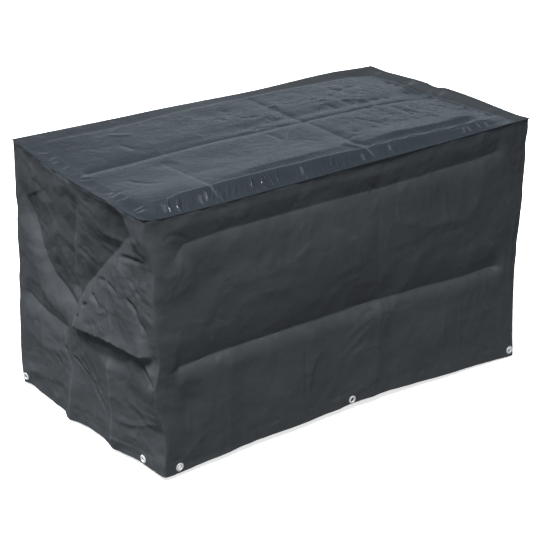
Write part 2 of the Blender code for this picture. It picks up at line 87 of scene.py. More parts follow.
# The four corners, in order round the cover: the top of each and its foot, as (x, y, z).
CORNERS = {
    "front_left": {"top": (-523, -277, -6), "foot": (-501, -296, -587)},
    "front_right": {"top": (515, -286, 8), "foot": (510, -288, -594)},
    "back_right": {"top": (517, 287, -1), "foot": (508, 288, -592)},
    "back_left": {"top": (-509, 288, 5), "foot": (-519, 290, -593)},
}

# How each corner line strays from straight on its way down: (depth, dx, dy).
CORNER_STRAY = {
    "front_left": ((0, 0, 0), (30, -4, 2), (62, 1, -3), (94, 5, -6), (118, 7, -7), (165, 5, -5), (224, 3, -4),
                   (319, 6, -4), (352, 0, 0), (389, -7, 5), (425, -7, 5), (496, 4, -3), (590, 0, 0)),
    "front_right": ((0, 0, 0), (94, -1, 1), (165, -2, 1), (295, -6, 3), (352, -8, 4), (425, -7, 4),
                    (530, -4, 2), (590, 0, 0)),
    "back_right": ((0, 0, 0), (165, -4, -3), (352, -9, -5), (460, -6, -3), (590, 0, 0)),
    "back_left": ((0, -1, 0), (94, 0, 0), (165, 1, 0), (295, 0, 0), (352, -1, 0), (425, -3, 1),
                  (496, -4, 1), (560, -3, 1), (590, 0, 0)),
}
FOLD_DEPTH = 1.5            # the cloth is folded this much deeper than the solids
CREASE_DEPTH = 0.62         # the walls' small creases against their table
VALLEY_SHAPE = (0.5, 1.2)   # a small valley's upper and lower widths against their table
RIDGE_SHAPE = (0.8, 0.7)
STRAY_REACH = 150.0         # a corner's straying dies out this far along the wall
TOP_DEPTH = 0.55            # the top's folds against the walls'
CORNER_FADE = 26.0          # folds and swells die out this near a corner
TOP_FADE = 16.0             # and this near the top's edge
LINE_WIDTH = 2.2            # a crease's painted line (paler wear with a painted highlight, or painted shade in a valley) fades out over this distance to each side
CREASE_BLUNT = 0.8          # a small crease's line is rounded over this distance
FOLD_BLUNT = 0.9            # and a main fold's
SEAM_ALLOWANCE = 21.0       # the upright seams' cloth ends this far from the corners, inside
SEAM_RISE = 0.7             # and its edge shows through as a line this high
WELD_ABOVE_HEM = 3.0        # the hem's weld line lies this far above the turned-in strip
BAND_STEP = 0.9             # the cloth lies this much higher on the top's band
BAND_RIM = 1.1              # and the band's inner edge is a ridge this high
BAND_ROUND = 9              # the band's inner corners are rounded at about this radius
BAND_NARROWER = 12          # it is this much narrower at the left end
SCALLOP_PITCH = 62
SCALLOP_DEPTH = 7
BACK_RIDGE = 1.8
CORNER_ROLL = 6.5           # the cloth rolls up this high at the front right corner
GRID_STEP = {"front": 3.6, "right": 4.6, "back": 4.8, "left": 2.8}


class Fold:
    """A main fold. Its points run from left to right or from bottom to top, and it stands out by its height.

    over and under are its widths on its upper or left side and on its lower or right side, and bend tells
    how steeply those two sides fall away from its line: 1 is a flat slope and 2 a steep crease. fade gives
    the lengths over which it dies out at its start and its end, and mark how clearly its line shows as a
    paler line, partly wear and partly a painted highlight.
    """

    def __init__(self, height, over, under, points, bend=(1.5, 2.0), fade=(32.0, 32.0), mark=1.0):
        self.height, self.over, self.under, self.points = height, over, under, points
        self.bend, self.fade, self.mark = bend, fade, mark


# The walls, in order round the cover. "out" points away from the grill and "run" along the wall.
# "tuck" says how far the cloth is drawn in under the top's edge, and how far down. Edge and hem rows are
# (share of the wall's length, outwards, up), measured from the straight line between the two corners.
# A swell is a broad rise of the cloth: (s, d, half-length, half-height, rise). An eyelet's place is
# (s, height of its centre above the bottom edge). "crumple" is how crumpled the cloth is against the other
# walls, and the grid is finer inside "busy_s" and "busy_d".
WALLS = {
    "front": {
        "ends": ("front_left", "front_right"), "length": LENGTH, "out": (0, -1), "run": (1, 0),
        "tuck": (-1.2, 14),
        "edge": ((0, 0, 0), (.015, 5, -1.5), (.042, 7, -3.2), (.17, 6.3, -4.4), (.36, 5, -3.6),
                 (.55, 5, -1.8), (.75, 2.6, -1.6), (.9, .7, -.6), (1, 0, 0)),
        "hem": ((0, 0, 0), (.08, -3, 2), (.17, -8, 5), (.29, -11, 6.5), (.42, -13, 7.5), (.5, -17, 9.5),
                (.575, -20, 11.5), (.67, -14, 8.5), (.75, -11, 6.5), (.87, -7, 4), (.96, -2, 1), (1, 0, 0)),
        "folds": {
            "upper_crease": Fold(-6, 42, 48, bend=(1.1, 2.4), points=(
                (52, 104), (88, 74), (170, 68), (245, 69), (375, 69), (506, 72), (590, 75), (636, 74),
                (767, 71), (865, 69), (965, 62))),
            "lower_crease": Fold(-10, 66, 40, bend=(1.5, 2.4), points=(
                (30, 350), (107, 348), (189, 347), (308, 348), (443, 349), (530, 351), (602, 353),
                (707, 352), (839, 354), (990, 350))),
            "main_upright": Fold(4, 90, 50, bend=(1.2, 1.2), mark=0.2, points=(
                (592, 590), (594, 470), (602, 353))),
            "left_upright": Fold(2, 60, 40, bend=(1.2, 1.2), mark=0.15, points=(
                (171, 590), (175, 460), (189, 347))),
        },
        "swells": ((520, 205, 480, 120, 9), (300, 460, 260, 90, 3), (800, 470, 190, 90, 4),
                   (82, 440, 48, 75, -9), (70, 150, 60, 60, 5)),
        "eyelets": ((38, 13.5), (528, 11.3), (1017.5, 16)),
    },
    "right": {
        "ends": ("front_right", "back_right"), "length": WIDTH, "out": (1, 0), "run": (0, 1),
        "tuck": (5, 36),
        "edge": ((0, 0, 0), (.07, 1, -1.9), (.21, 3, .5), (.36, 5, 3.5), (.5, 4, 5), (.57, 0, .5),
                 (.64, 2, 3), (.79, 1, .5), (.9, 0, -1.6), (1, 0, 0)),
        "hem": ((0, 0, 0), (.15, 2, -1), (.34, 3, -4), (.5, 2, -2), (.67, 3, -4), (.85, 2, -1), (1, 0, 0)),
        "folds": {
            "gusset_left": Fold(-9, 85, 70, points=(
                (48, 62), (115, 150), (190, 240), (250, 290), (292, 318))),
            "gusset_right": Fold(-9, 85, 70, points=(
                (292, 318), (350, 245), (420, 160), (480, 100), (528, 52))),
            "middle_crease": Fold(-3, 60, 60, points=(
                (292, 318), (290, 170), (288, 30))),
            "level_crease": Fold(-5, 40, 34, points=(
                (15, 352), (120, 350), (220, 352), (292, 348), (380, 350), (470, 352), (562, 348))),
            "lower_left_upright": Fold(6, 60, 60, points=(
                (196, 590), (200, 480), (206, 380))),
            "lower_right_upright": Fold(6, 60, 60, points=(
                (388, 590), (386, 480), (384, 380))),
        },
        "swells": ((120, 230, 90, 90, 6), (470, 230, 90, 90, 6)),
        "eyelets": ((12.5, 14), (500, 13.5)),
    },
    "back": {
        "ends": ("back_right", "back_left"), "length": LENGTH, "out": (0, 1), "run": (-1, 0),
        "tuck": (4, 24),
        "edge": ((0, 0, 0), (.06, 0, 1.6), (.125, 0, 4.2), (.19, 1, 2.9), (.25, 1, 1), (.375, 1, -2.2),
                 (.5, 1, -1), (.625, 1, 0), (.75, 0, -.5), (.875, 0, -.2), (1, 0, 0)),
        "hem": ((0, 0, 0), (.12, -4, 2), (.28, -9, 5), (.43, -14, 8), (.6, -10, 6), (.8, -6, 4), (1, 0, 0)),
        "folds": {
            "upper_crease": Fold(-5, 42, 46, points=(
                (50, 58), (160, 61), (270, 63), (370, 66), (470, 64), (570, 67), (670, 66), (780, 70),
                (880, 71), (975, 73))),
            "lower_crease": Fold(-8, 60, 36, points=(
                (38, 342), (150, 339), (260, 336), (360, 334), (445, 333), (560, 335), (660, 335), (770, 338),
                (880, 341), (990, 345))),
            "main_upright": Fold(4, 60, 60, points=(
                (443, 590), (444, 470), (445, 333))),
            "right_upright": Fold(3, 60, 60, points=(
                (846, 590), (848, 460), (848, 345))),
        },
        "swells": ((520, 205, 480, 120, 8), (250, 460, 200, 90, 3), (680, 465, 200, 90, 3)),
        "eyelets": ((38, 13), (528, 12), (1017.5, 14)),
    },
    "left": {
        "ends": ("back_left", "front_left"), "length": WIDTH, "out": (-1, 0), "run": (0, -1),
        "tuck": (-1.8, 16),
        "edge": ((0, 0, 0), (.1, 2.6, -3), (.29, 4.9, -6.9), (.47, 6, -8.4), (.64, 5, -7), (.81, 5.2, -2.7),
                 (.925, 6, -1.8), (.974, 5.3, -1), (1, 0, 0)),
        "hem": ((0, 0, 0), (.05, -2, 2), (.15, 0, 0), (.25, 1, -1.5), (.39, 3, -1.5), (.5, 2, -.5),
                (.69, 4, -1), (.78, 3, -1), (.9, 2, -1.5), (1, 0, 0)),
        "folds": {
            "gusset": Fold(-13, 165, 60, bend=(1.7, 1.9), fade=(90, 32), points=(
                (22, 76), (40, 122), (70, 164), (98, 202), (128, 240), (156, 270), (186, 284),
                (222, 296), (252, 306), (264, 288), (297, 241), (339, 199), (373, 170), (423, 124),
                (478, 77), (527, 46))),
            "middle_crease": Fold(-5, 60, 30, bend=(1.2, 1.5), points=(
                (264, 288), (250, 222), (264, 148), (282, 84), (296, 24))),
            "level_crease": Fold(-6, 55, 40, points=(
                (8, 352), (52, 361), (118, 368), (205, 374), (236, 371))),
            "bulge_edge": Fold(11, 105, 15, bend=(1.2, 1.5), points=(
                (240, 352), (305, 334), (344, 328), (446, 317), (536, 315), (566, 306))),
            "lower_left_upright": Fold(9, 50, 72, bend=(1.15, 1.15), fade=(32, 90), points=(
                (228, 590), (240, 495), (245, 425))),
            "lower_right_upright": Fold(9, 52, 80, bend=(1.15, 1.15), points=(
                (400, 590), (410, 450), (404, 362))),
        },
        "swells": ((110, 260, 75, 90, 6), (490, 210, 80, 95, 7), (120, 470, 90, 90, 3)),
        "crumple": 1.6,
        "eyelets": ((12.5, 16), (500, 13.5)),
        "busy_s": (195, 571),
        "busy_d": (90, 520),
    },
}
WALL_ORDER = ("front", "right", "back", "left")
# How far a small crease's place slides along and down its wall for each millimetre that the cloth stands out.
SETTLE = {"front": (-0.73, -0.53), "right": (0, 0), "back": (0, 0), "left": (1.36, -0.72)}

# The top's crown: its rise over a surface stretched between the four edges, in rows across the cover.
CROWN_Y = (289, 242, 120, 0, -120, -242, -289)
CROWN = (
    # x, back edge, back inner, mid back, middle, mid front, front inner, front edge
    (-515, 0, 0, 0, 0, 0, 0, 0),
    (-468, 0, 2, 3, 4, 8, 16, 0),
    (-300, 0, 1, 6, 9, 15, 23, 0),
    (-150, 0, 3, 8, 12, 16, 20, 0),
    (0, 0, 5, 9, 12, 14, 17, 0),
    (130, 0, 6, 9, 11, 12, 14, 0),
    (250, 0, 2, 5, 6, 8, 10, 0),
    (370, 0, -2, -1, -1, 3, 7, 0),
    (468, 0, -6, -7, -9, -6, -4, 0),
    (515, 0, 0, 0, 0, 0, 0, 0),
)
# Small random creases of the top: seed, count, area from corner to corner, ranges of length, width, height
# and direction, and how much each one bends. The last two have their own defaults.
TOP_SCATTERS = (
    (611, 62, (100, -186, 482, -14), (18, 66), (6, 13), (0.4, 1.5), (0.6, 2.6), 0.5),
    (612, 50, (-60, 0, 470, 150), (25, 90), (8, 16), (0.6, 1.9), (0.2, 1.7), 0.4),
    (613, 60, (-460, -200, 470, 220), (24, 90), (8, 18), (0.2, 0.6)),
)
# The cloth's unevenness: size of its features, height and seed. A wall's seeds count on from its own.
TOP_WAVES = ((120.0, 1.2, 621), (52.0, 0.4, 622))
TOP_CRUMPLES = ((60.0, 0.3, 623), (28.0, 0.12, 624))
WALL_WAVES = (130.0, 1.6, 2)
WALL_CRUMPLES = ((95.0, 1.5, 3), (46.0, 0.7, 4), (21.0, 0.18, 5))
# The band's puckers: places of the clear ones along the front, and how many small ones there are.
PUCKERS_AT = (-446, -362, -348, -108, 52)
FRONT_PUCKERS = 5
BACK_PUCKERS = 30
SIDE_PUCKERS = ((-1, 12), (1, 9))
# Creases of the top, in plan.
TOP_FOLDS = {
    "long_crease": Fold(-4, 40, 40, bend=(2.6, 4.0), points=(
        (-492, 16), (-400, 15), (-300, 10), (-200, 5), (-100, 0), (0, -4), (78, -5), (170, -6),
        (270, -8), (370, -10), (488, -13))),
    "cross_crease": Fold(-3, 40, 34, bend=(2.0, 3.0), points=(
        (72, -285), (74, -240), (76, -120), (78, 0), (81, 120), (84, 240))),
    "left_cross_crease": Fold(-2, 40, 40, points=(
        (-330, -285), (-328, -235), (-326, -120), (-324, -20))),
}

# Smaller creases of each panel, which only the cloth has: (height, width over, width under, points).
FINE_CREASES = {
    "front": (
        (-2.2, 9, 8, ((556, 46), (574, 61), (592, 78))),
        (-2.0, 8, 9, ((557, 80), (574, 61), (590, 44))),
        (-1.2, 9, 7, ((581, 70), (590, 88), (596, 108))),
        (1.0, 10, 8, ((592, 120), (600, 160), (604, 190))),
        (1.0, 20, 10, ((372, 575), (374, 470), (372, 360))),
        (-1.2, 9, 9, ((378, 556), (381, 490), (379, 372))),
        (1.0, 14, 10, ((845, 560), (842, 460), (838, 362))),
        (1.0, 12, 10, ((792, 560), (791, 480), (790, 396))),
        (-1.5, 26, 22, ((582, 62), (584, 190), (585, 333))),
        (3.4, 26, 20, ((388, 546), (390, 500), (396, 465), (410, 436), (428, 414), (448, 400))),
        (2.6, 16, 14, ((492, 416), (524, 396), (556, 380), (588, 366))),
        (2.0, 12, 12, ((470, 462), (520, 432), (566, 398), (580, 378))),
        (1.6, 12, 10, ((500, 470), (540, 450), (576, 424))),
        (-2.0, 7, 5, ((540, 372), (552, 360), (572, 356), (586, 366))),
        (-1.6, 7, 5, ((596, 384), (616, 379), (650, 388))),
        (-1.2, 7, 5, ((632, 372), (668, 368), (700, 376))),
        (-1.0, 7, 5, ((380, 352), (400, 350), (424, 360))),
        (3.0, 40, 50, ((185, 268), (222, 240), (270, 226), (330, 221))),
        (2.4, 40, 40, ((92, 310), (130, 235), (172, 165))),
        (2.0, 26, 26, ((455, 250), (520, 232), (560, 236))),
        (1.8, 20, 24, ((640, 270), (690, 262), (716, 280))),
        (-0.9, 7, 6, ((326, 180), (350, 184), (378, 180))),
        (2.6, 18, 14, ((50, 562), (88, 534), (132, 508))),
        (2.0, 16, 16, ((62, 520), (70, 480), (66, 430))),
        (-2.6, 9, 8, ((22, 352), (38, 346), (56, 350))),
        (2.4, 18, 16, ((60, 150), (66, 112), (80, 84))),
        (-2.4, 12, 12, ((28, 54), (48, 40), (70, 38))),
        (-2.0, 12, 10, ((60, 40), (78, 46), (92, 62))),
        (1.6, 12, 12, ((22, 190), (38, 176), (46, 150))),
        (-1.4, 12, 14, ((158, 26), (168, 50), (176, 70))),
        (1.2, 8, 8, ((1010, 30), (1011, 80), (1010, 122))),
        (1.2, 9, 7, ((985, 60), (986, 90), (986, 118))),
        (1.4, 14, 16, ((1008, 220), (1004, 300), (1006, 390))),
        (1.4, 16, 14, ((848, 130), (820, 112), (800, 92))),
        (1.6, 30, 26, ((880, 320), (930, 300), (985, 318))),
    ),
    "left": (
        (-9.0, 8, 8, ((262, 408), (283, 426), (300, 443), (318, 466), (336, 488), (358, 506), (378, 510))),
        (2.2, 9, 12, ((278, 398), (318, 438), (356, 486), (384, 500))),
        (-5.0, 8, 8, ((232, 430), (252, 429), (274, 436), (296, 452), (308, 468))),
        (-7.0, 8, 8, ((200, 414), (212, 424), (224, 438), (236, 452))),
        (2.0, 10, 10, ((176, 405), (196, 434), (222, 452))),
        (-5.5, 8, 8, ((162, 452), (176, 462), (190, 474))),
        (2.0, 14, 12, ((196, 372), (208, 396), (204, 424), (216, 438))),
        (2.6, 10, 12, ((236, 376), (248, 392), (254, 412))),
        (-7.0, 9, 7, ((330, 243), (346, 246), (358, 252), (372, 263))),
        (-6.0, 8, 7, ((288, 287), (302, 281), (318, 275))),
        (-5.0, 8, 7, ((258, 326), (270, 320), (282, 315))),
        (2.2, 9, 9, ((318, 270), (328, 262), (342, 262), (350, 274))),
        (-2.2, 8, 8, ((340, 300), (352, 316), (352, 330))),
        (2.0, 9, 9, ((360, 296), (372, 312), (384, 326))),
        (2.2, 10, 10, ((352, 278), (372, 276), (394, 266), (402, 282))),
        (-4.5, 8, 8, ((362, 198), (380, 194), (402, 192))),
        (-4.5, 8, 8, ((402, 192), (424, 198), (452, 208))),
        (-8.0, 9, 8, ((468, 204), (484, 206), (500, 214), (514, 226), (528, 246), (544, 256), (560, 258))),
        (2.2, 10, 10, ((486, 168), (504, 174), (520, 192), (536, 206))),
        (-2.0, 8, 8, ((478, 160), (494, 158), (512, 164))),
        (-1.8, 8, 8, ((504, 182), (520, 176), (536, 182))),
        (-8.0, 12, 8, ((448, 120), (488, 112), (530, 104), (572, 98))),
        (3.2, 14, 14, ((500, 80), (520, 66), (548, 60))),
        (2.8, 12, 10, ((524, 54), (544, 76), (560, 88), (572, 92))),
        (-2.4, 9, 8, ((510, 88), (530, 84), (552, 92))),
        (2.6, 12, 12, ((398, 196), (404, 250), (416, 300), (424, 332))),
        (1.8, 12, 14, ((524, 306), (526, 220), (523, 106))),
        (2.6, 16, 12, ((392, 516), (470, 505), (512, 489), (572, 458))),
        (1.6, 14, 12, ((470, 540), (486, 520), (500, 500))),
        (-9.0, 9, 9, ((522, 333), (544, 350), (564, 372), (574, 386))),
        (3.4, 12, 12, ((534, 326), (556, 342), (572, 362))),
        (-5.5, 8, 8, ((572, 382), (573, 404), (571, 428))),
        (-2.2, 20, 16, ((80, 548), (88, 450), (85, 366))),
        (1.6, 18, 16, ((108, 556), (112, 470), (106, 386))),
        (-3.4, 18, 12, ((284, 148), (322, 156), (352, 166), (370, 172))),
        (2.0, 20, 20, ((240, 290), (242, 220), (238, 150))),
        (1.8, 26, 22, ((178, 250), (186, 190), (190, 120))),
        (1.6, 24, 20, ((150, 350), (140, 300), (132, 250))),
        (-1.6, 20, 18, ((196, 350), (184, 310), (170, 262))),
        (-1.0, 16, 14, ((20, 178), (36, 160), (52, 150))),
        (1.8, 22, 20, ((440, 120), (444, 80), (452, 40))),
        (2.0, 16, 14, ((316, 168), (320, 220), (318, 262))),
        (-3.6, 12, 8, ((256, 346), (290, 350), (330, 350))),
        (-2.6, 8, 8, ((242, 362), (256, 354), (272, 350))),
        (-2.4, 9, 9, ((300, 358), (312, 366), (316, 376))),
        (1.4, 10, 10, ((556, 40), (560, 60), (552, 74))),
    ),
    "right": (
        (-3.6, 9, 9, ((196, 404), (224, 436), (252, 470), (276, 488))),
        (-2.8, 8, 9, ((310, 410), (330, 432), (344, 452))),
        (2.2, 12, 12, ((120, 300), (160, 262), (196, 252))),
        (-2.8, 9, 8, ((420, 250), (446, 262), (470, 286))),
        (-3.0, 10, 9, ((30, 130), (60, 122), (96, 118))),
        (2.4, 16, 12, ((20, 470), (70, 492), (140, 506))),
        (-2.4, 9, 9, ((330, 300), (350, 290), (366, 276))),
        (1.8, 20, 18, ((500, 540), (496, 460), (498, 380))),
        (-1.8, 18, 16, ((90, 545), (86, 450), (88, 368))),
        (-3.0, 10, 10, ((12, 350), (30, 362), (40, 384))),
    ),
    "back": (
        (1.4, 8, 8, ((860, 84), (905, 86), (950, 82))),
        (-2.0, 9, 9, ((436, 46), (452, 62), (468, 78))),
        (2.6, 22, 20, ((640, 530), (622, 480), (590, 430), (540, 390), (480, 360))),
        (-2.8, 11, 8, ((380, 380), (402, 376), (424, 384))),
        (-1.5, 26, 22, ((447, 62), (446, 190), (445, 333))),
        (1.0, 14, 10, ((190, 560), (188, 460), (190, 362))),
        (2.6, 18, 14, ((900, 512), (946, 534), (984, 560))),
        (2.8, 40, 46, ((700, 225), (760, 236), (830, 262))),
        (-2.2, 9, 8, ((972, 352), (990, 346), (1008, 350))),
    ),
    "top": (
        (-1.8, 16, 16, ((200, 78), (203, 50), (202, 18))),
        (-1.6, 16, 14, ((310, -10), (314, -60), (310, -104))),
        (-1.4, 14, 14, ((-40, -14), (-38, -60), (-44, -96))),
        (-1.2, 12, 12, ((-436, -60), (-428, -100), (-410, -134), (-380, -166))),
        (1.6, 12, 12, ((-326, 205), (-300, 180), (-268, 166))),
        (-1.6, 12, 12, ((-338, 130), (-326, 106), (-322, 70))),
        (3.0, 22, 18, ((44, -176), (58, -208), (72, -236), (80, -250))),
        (-2.4, 14, 12, ((64, -180), (82, -216), (94, -244))),
        (4.4, 64, 26, ((50, -204), (180, -200), (270, -203), (360, -204), (440, -201), (530, -196))),
        (2.2, 56, 24, ((-330, -214), (-200, -210), (-100, -208), (0, -206), (90, -204))),
        (2.5, 50, 26, ((330, -196), (400, -192), (470, -190), (520, -186))),
        (1.8, 14, 12, ((-496, 4), (-482, -1), (-470, 0))),
        (2.4, 14, 12, ((478, -14), (492, -10), (506, -16))),
    ),
}


def smooth_step(x):
    """0 below 0, 1 above 1, and an even curve between."""
    x = np.clip(x, 0.0, 1.0)
    return x * x * (3 - 2 * x)


def smooth_curve(xs, ys, x):
    """Values at x of a smooth curve through ys at xs that never overshoots.

    ys holds one value for each of xs, or one grid of the shape of x.
    """
    i = np.clip(np.searchsorted(xs, x, side="right") - 1, 0, len(xs) - 2)
    slope = np.diff(ys, axis=0) / np.diff(xs).reshape(-1, *[1] * (ys.ndim - 1))
    product, total = slope[:-1] * slope[1:], slope[:-1] + slope[1:]
    tangent = np.zeros_like(ys)
    tangent[1:-1] = np.where(product > 0, 2 * product / np.where(product > 0, total, 1.0), 0.0)

    def pick(table, k):
        return table[k] if table.ndim == 1 else np.take_along_axis(table, k[None], 0)[0]

    h = xs[i + 1] - xs[i]
    t = (x - xs[i]) / h
    return (pick(ys, i) * (1 + 2 * t) * (1 - t) ** 2 + h * pick(tangent, i) * t * (1 - t) ** 2
            + pick(ys, i + 1) * t * t * (3 - 2 * t) - h * pick(tangent, i + 1) * t * t * (1 - t))


def read(rows, x, column=1):
    """The values at x of a table whose first column rises."""
    xs = np.array([row[0] for row in rows], float)
    ys = np.array([row[column] for row in rows], float)
    return smooth_curve(xs, ys, np.clip(x, xs[0], xs[-1]))


def along_line(points, s, d, down=1):
    """Distance from a line of points, the way walked along it there, and on which side, with its length."""
    best = np.full(np.shape(s), np.inf)
    along, side, walked = np.zeros_like(best), np.zeros_like(best), 0.0
    for (s0, d0), (s1, d1) in zip(points, points[1:]):
        rs, rd = s1 - s0, d1 - d0
        size = np.hypot(rs, rd)
        t = np.clip(((s - s0) * rs + (d - d0) * rd) / size ** 2, 0.0, 1.0)
        off_s, off_d = s - s0 - rs * t, d - d0 - rd * t
        far = np.hypot(off_s, off_d)
        near = far < best
        best = np.where(near, far, best)
        along = np.where(near, walked + size * t, along)
        side = np.where(near, (rs * off_d - rd * off_s) * down, side)
        walked += size
    return best, along, side, walked


def crease_profile(far, reach, blunt, power):
    """A crease's shape across it: 1 on the line, blunted there, and 0 from reach on."""
    eased = np.sqrt(far ** 2 + blunt ** 2) - blunt
    return np.clip(1 - eased / reach, 0.0, 1.0) ** power


def fold_rise(fold, s, d, down=1):
    """How far a fold lifts the cloth at (s, d), and how near its line the cloth is."""
    far, along, side, walked = along_line(fold.points, s, d, down)
    reach = np.where(side < 0, fold.over, fold.under)
    power = np.where(side < 0, *fold.bend)
    from_start = walked if fold.points[0][1] == HEIGHT else along
    first, last = fold.fade
    fade = smooth_step(np.minimum(from_start / first, (walked - along) / last))
    rise = FOLD_DEPTH * fold.height * crease_profile(far, reach, FOLD_BLUNT, power) * fade
    return rise, fold.mark * fade * np.exp(-(far / LINE_WIDTH) ** 2)


def swell_rise(swell, s, d):
    """How far a broad swell lifts the cloth at (s, d)."""
    centre_s, centre_d, half_s, half_d, rise = swell
    r = np.hypot((s - centre_s) / half_s, (d - centre_d) / half_d)
    return rise * np.clip(1 - r * r, 0.0, 1.0) ** 2


def noise(x, y, size, seed):
    """Smooth noise between -1 and 1 with features about this size."""
    rng = np.random.default_rng(seed)
    lattice = rng.uniform(-1.0, 1.0, (256, 256))
    u, v = x / size + 97.3, y / size + 61.7
    i, j = np.floor(u).astype(int), np.floor(v).astype(int)
    a, b = smooth_step(u - i), smooth_step(v - j)

    def at(di, dj):
        return lattice[(i + di) % 256, (j + dj) % 256]

    return ((at(0, 0) * (1 - a) + at(1, 0) * a) * (1 - b) + (at(0, 1) * (1 - a) + at(1, 1) * a) * b)


def crumple(x, y, size, seed):
    """Facets that meet in thin ridges and troughs, as in stiff sheeting that was folded small."""
    warp_x = x + noise(x, y, size * 1.3, seed + 1) * size * 0.45
    warp_y = y + noise(x, y, size * 1.3, seed + 2) * size * 0.45
    ridges = 0.5 - np.abs(noise(warp_x, warp_y, size, seed)) * 2
    return ridges + np.abs(noise(warp_x, warp_y, size * 0.6, seed + 3))


class Relief:
    """Heights and crease marks over a panel's pattern, on the lines of a grid."""

    def __init__(self, s_lines, d_lines, down=1):
        self.s_lines, self.d_lines, self.down = s_lines, d_lines, down
        self.s, self.d = np.meshgrid(s_lines, d_lines, indexing="ij")
        self.rise = np.zeros_like(self.s)
        self.mark = np.zeros_like(self.s)

    def window(self, points, reach):
        """The part of the grid within reach of these points."""
        ss, ds = [p[0] for p in points], [p[1] for p in points]
        i = np.searchsorted(self.s_lines, (min(ss) - reach, max(ss) + reach))
        j = np.searchsorted(self.d_lines, (min(ds) - reach, max(ds) + reach))
        return slice(i[0], i[1]), slice(j[0], j[1])

    def crease(self, height, over, under, points, blunt=CREASE_BLUNT, marked=1.0):
        """Add a small crease, which dies out towards both ends."""
        part = self.window(points, max(over, under))
        s, d = self.s[part], self.d[part]
        if s.size == 0:
            return
        far, along, side, walked = along_line(points, s, d, self.down)
        reach = np.where(side < 0, over, under)
        fade = smooth_step(np.minimum(along, walked - along) / (walked * 0.3))
        self.rise[part] += height * crease_profile(far, reach, blunt, 1.3) * fade
        sharp = min(1.0, 12.0 / max(over, under))
        # The mark paints the crease's line into the colour: paler where positive, as wear and a painted
        # highlight, and painted shade where negative.
        self.mark[part] += marked * sharp * fade * np.exp(-(far / LINE_WIDTH) ** 2)

    def scatter(self, seed, count, area, length, width, height, lean=(0.0, pi), bend=0.25):
        """Add many small random creases in an area of the pattern."""
        rng = np.random.default_rng(seed)
        for _ in range(count):
            s = rng.uniform(area[0], area[2])
            d = rng.uniform(area[1], area[3])
            turn = rng.uniform(*lean)
            points = [(s, d)]
            run = rng.uniform(*length) / 3
            for _ in range(3):
                turn += rng.normal(0.0, bend)
                points.append((points[-1][0] + cos(turn) * run, points[-1][1] + sin(turn) * run))
            wide = rng.uniform(*width)
            tall = rng.uniform(*height) * rng.choice((-1.0, 1.0), p=(0.6, 0.4))
            # Their lines are painted paler, as wear and a painted highlight.
            self.crease(tall, wide, wide * rng.uniform(0.6, 1.4), points, marked=0.5)


def edge_point(side, share, level):
    """Points of a wall's top edge (level "top") or bottom edge (level "foot")."""
    wall = WALLS[side]
    first, last = (np.array(CORNERS[name][level], float) for name in wall["ends"])
    rows = wall["edge"] if level == "top" else wall["hem"]
    share = np.asarray(share, float)
    spot = first + (last - first) * share[..., None]
    out = read(rows, share, 1)
    offset = np.stack((wall["out"][0] * out, wall["out"][1] * out, read(rows, share, 2)), -1)
    return spot + offset


def corner_shift(name, d):
    """How a corner line strays at this depth, with a little more wander than its solid has."""
    seed = sorted(CORNERS).index(name) * 7 + 300
    hold = smooth_step(d / 30.0) * smooth_step((HEIGHT - d) / 30.0)
    dx = read(CORNER_STRAY[name], d, 1) + noise(d, d * 0 + 3.0, 34.0, seed) * 1.4 * hold
    dy = read(CORNER_STRAY[name], d, 2) + noise(d, d * 0 + 9.0, 34.0, seed + 1) * 1.4 * hold
    return dx, dy


def wall_base(side, s, d):
    """Where the points (s, d) of a wall's pattern hang, before its folds."""
    wall = WALLS[side]
    share = s / wall["length"]
    top, foot = edge_point(side, share, "top"), edge_point(side, share, "foot")
    spot = top + (foot - top) * (d / HEIGHT)[..., None]
    for name, away in zip(wall["ends"], (s, wall["length"] - s)):
        hold = np.clip(1 - away / STRAY_REACH, 0.0, 1.0) ** 2
        dx, dy = corner_shift(name, d)
        spot[..., 0] += dx * hold
        spot[..., 1] += dy * hold
    spot[..., 2] += EDGE_LEVEL
    return spot


def large_rise(side, s, d):
    """The lift of a wall's main folds and swells, and the marks of its crease lines."""
    wall = WALLS[side]
    rise, mark = np.zeros_like(s), np.zeros_like(s)
    for fold in wall["folds"].values():
        lift, line = fold_rise(fold, s, d)
        rise += lift
        mark += line
    for swell in wall["swells"]:
        rise += swell_rise(swell, s, d)
    hold = smooth_step(np.minimum(s, wall["length"] - s) / CORNER_FADE) * smooth_step(d / TOP_FADE)
    return rise * hold, mark * hold


def neighbours(side):
    """The outward directions of the walls at this wall's left and right ends."""
    i = WALL_ORDER.index(side)
    return WALLS[WALL_ORDER[i - 1]]["out"], WALLS[WALL_ORDER[(i + 1) % 4]]["out"]


def round_corners(side, spot, s):
    """Turn both ends of a wall inwards on a quarter of the corner's round."""
    wall = WALLS[side]
    out, run = np.array((*wall["out"], 0.0)), np.array((*wall["run"], 0.0))
    for away, sign in ((s, 1.0), (wall["length"] - s, -1.0)):
        turn = np.clip(1 - away / CORNER_ROUND, 0.0, 1.0) * pi / 4
        near = away < CORNER_ROUND
        slide = np.where(near, CORNER_ROUND * (1 - np.sin(turn)) - away, 0.0) * sign
        draw = np.where(near, CORNER_ROUND * (1 - np.cos(turn)), 0.0)
        spot += slide[..., None] * run - draw[..., None] * out
    return spot


def eyelet_frame(side, s, d):
    """The place (s, d) on the cloth's outer face, with unit vectors along, down and out of it."""
    reach = EYELET_REACH
    spots = np.array(((s, d), (s - reach, d), (s + reach, d), (s, d - reach), (s, d + reach)), float)
    rise, _ = large_rise(side, spots[:, 0], spots[:, 1])
    places = wall_base(side, spots[:, 0], spots[:, 1]) + rise[:, None] * np.array((*WALLS[side]["out"], 0.0))
    along = places[2] - places[1]
    along /= np.linalg.norm(along)
    down = places[4] - places[3]
    down -= along * down.dot(along)
    down /= np.linalg.norm(down)
    return places[0], along, down, np.cross(down, along)


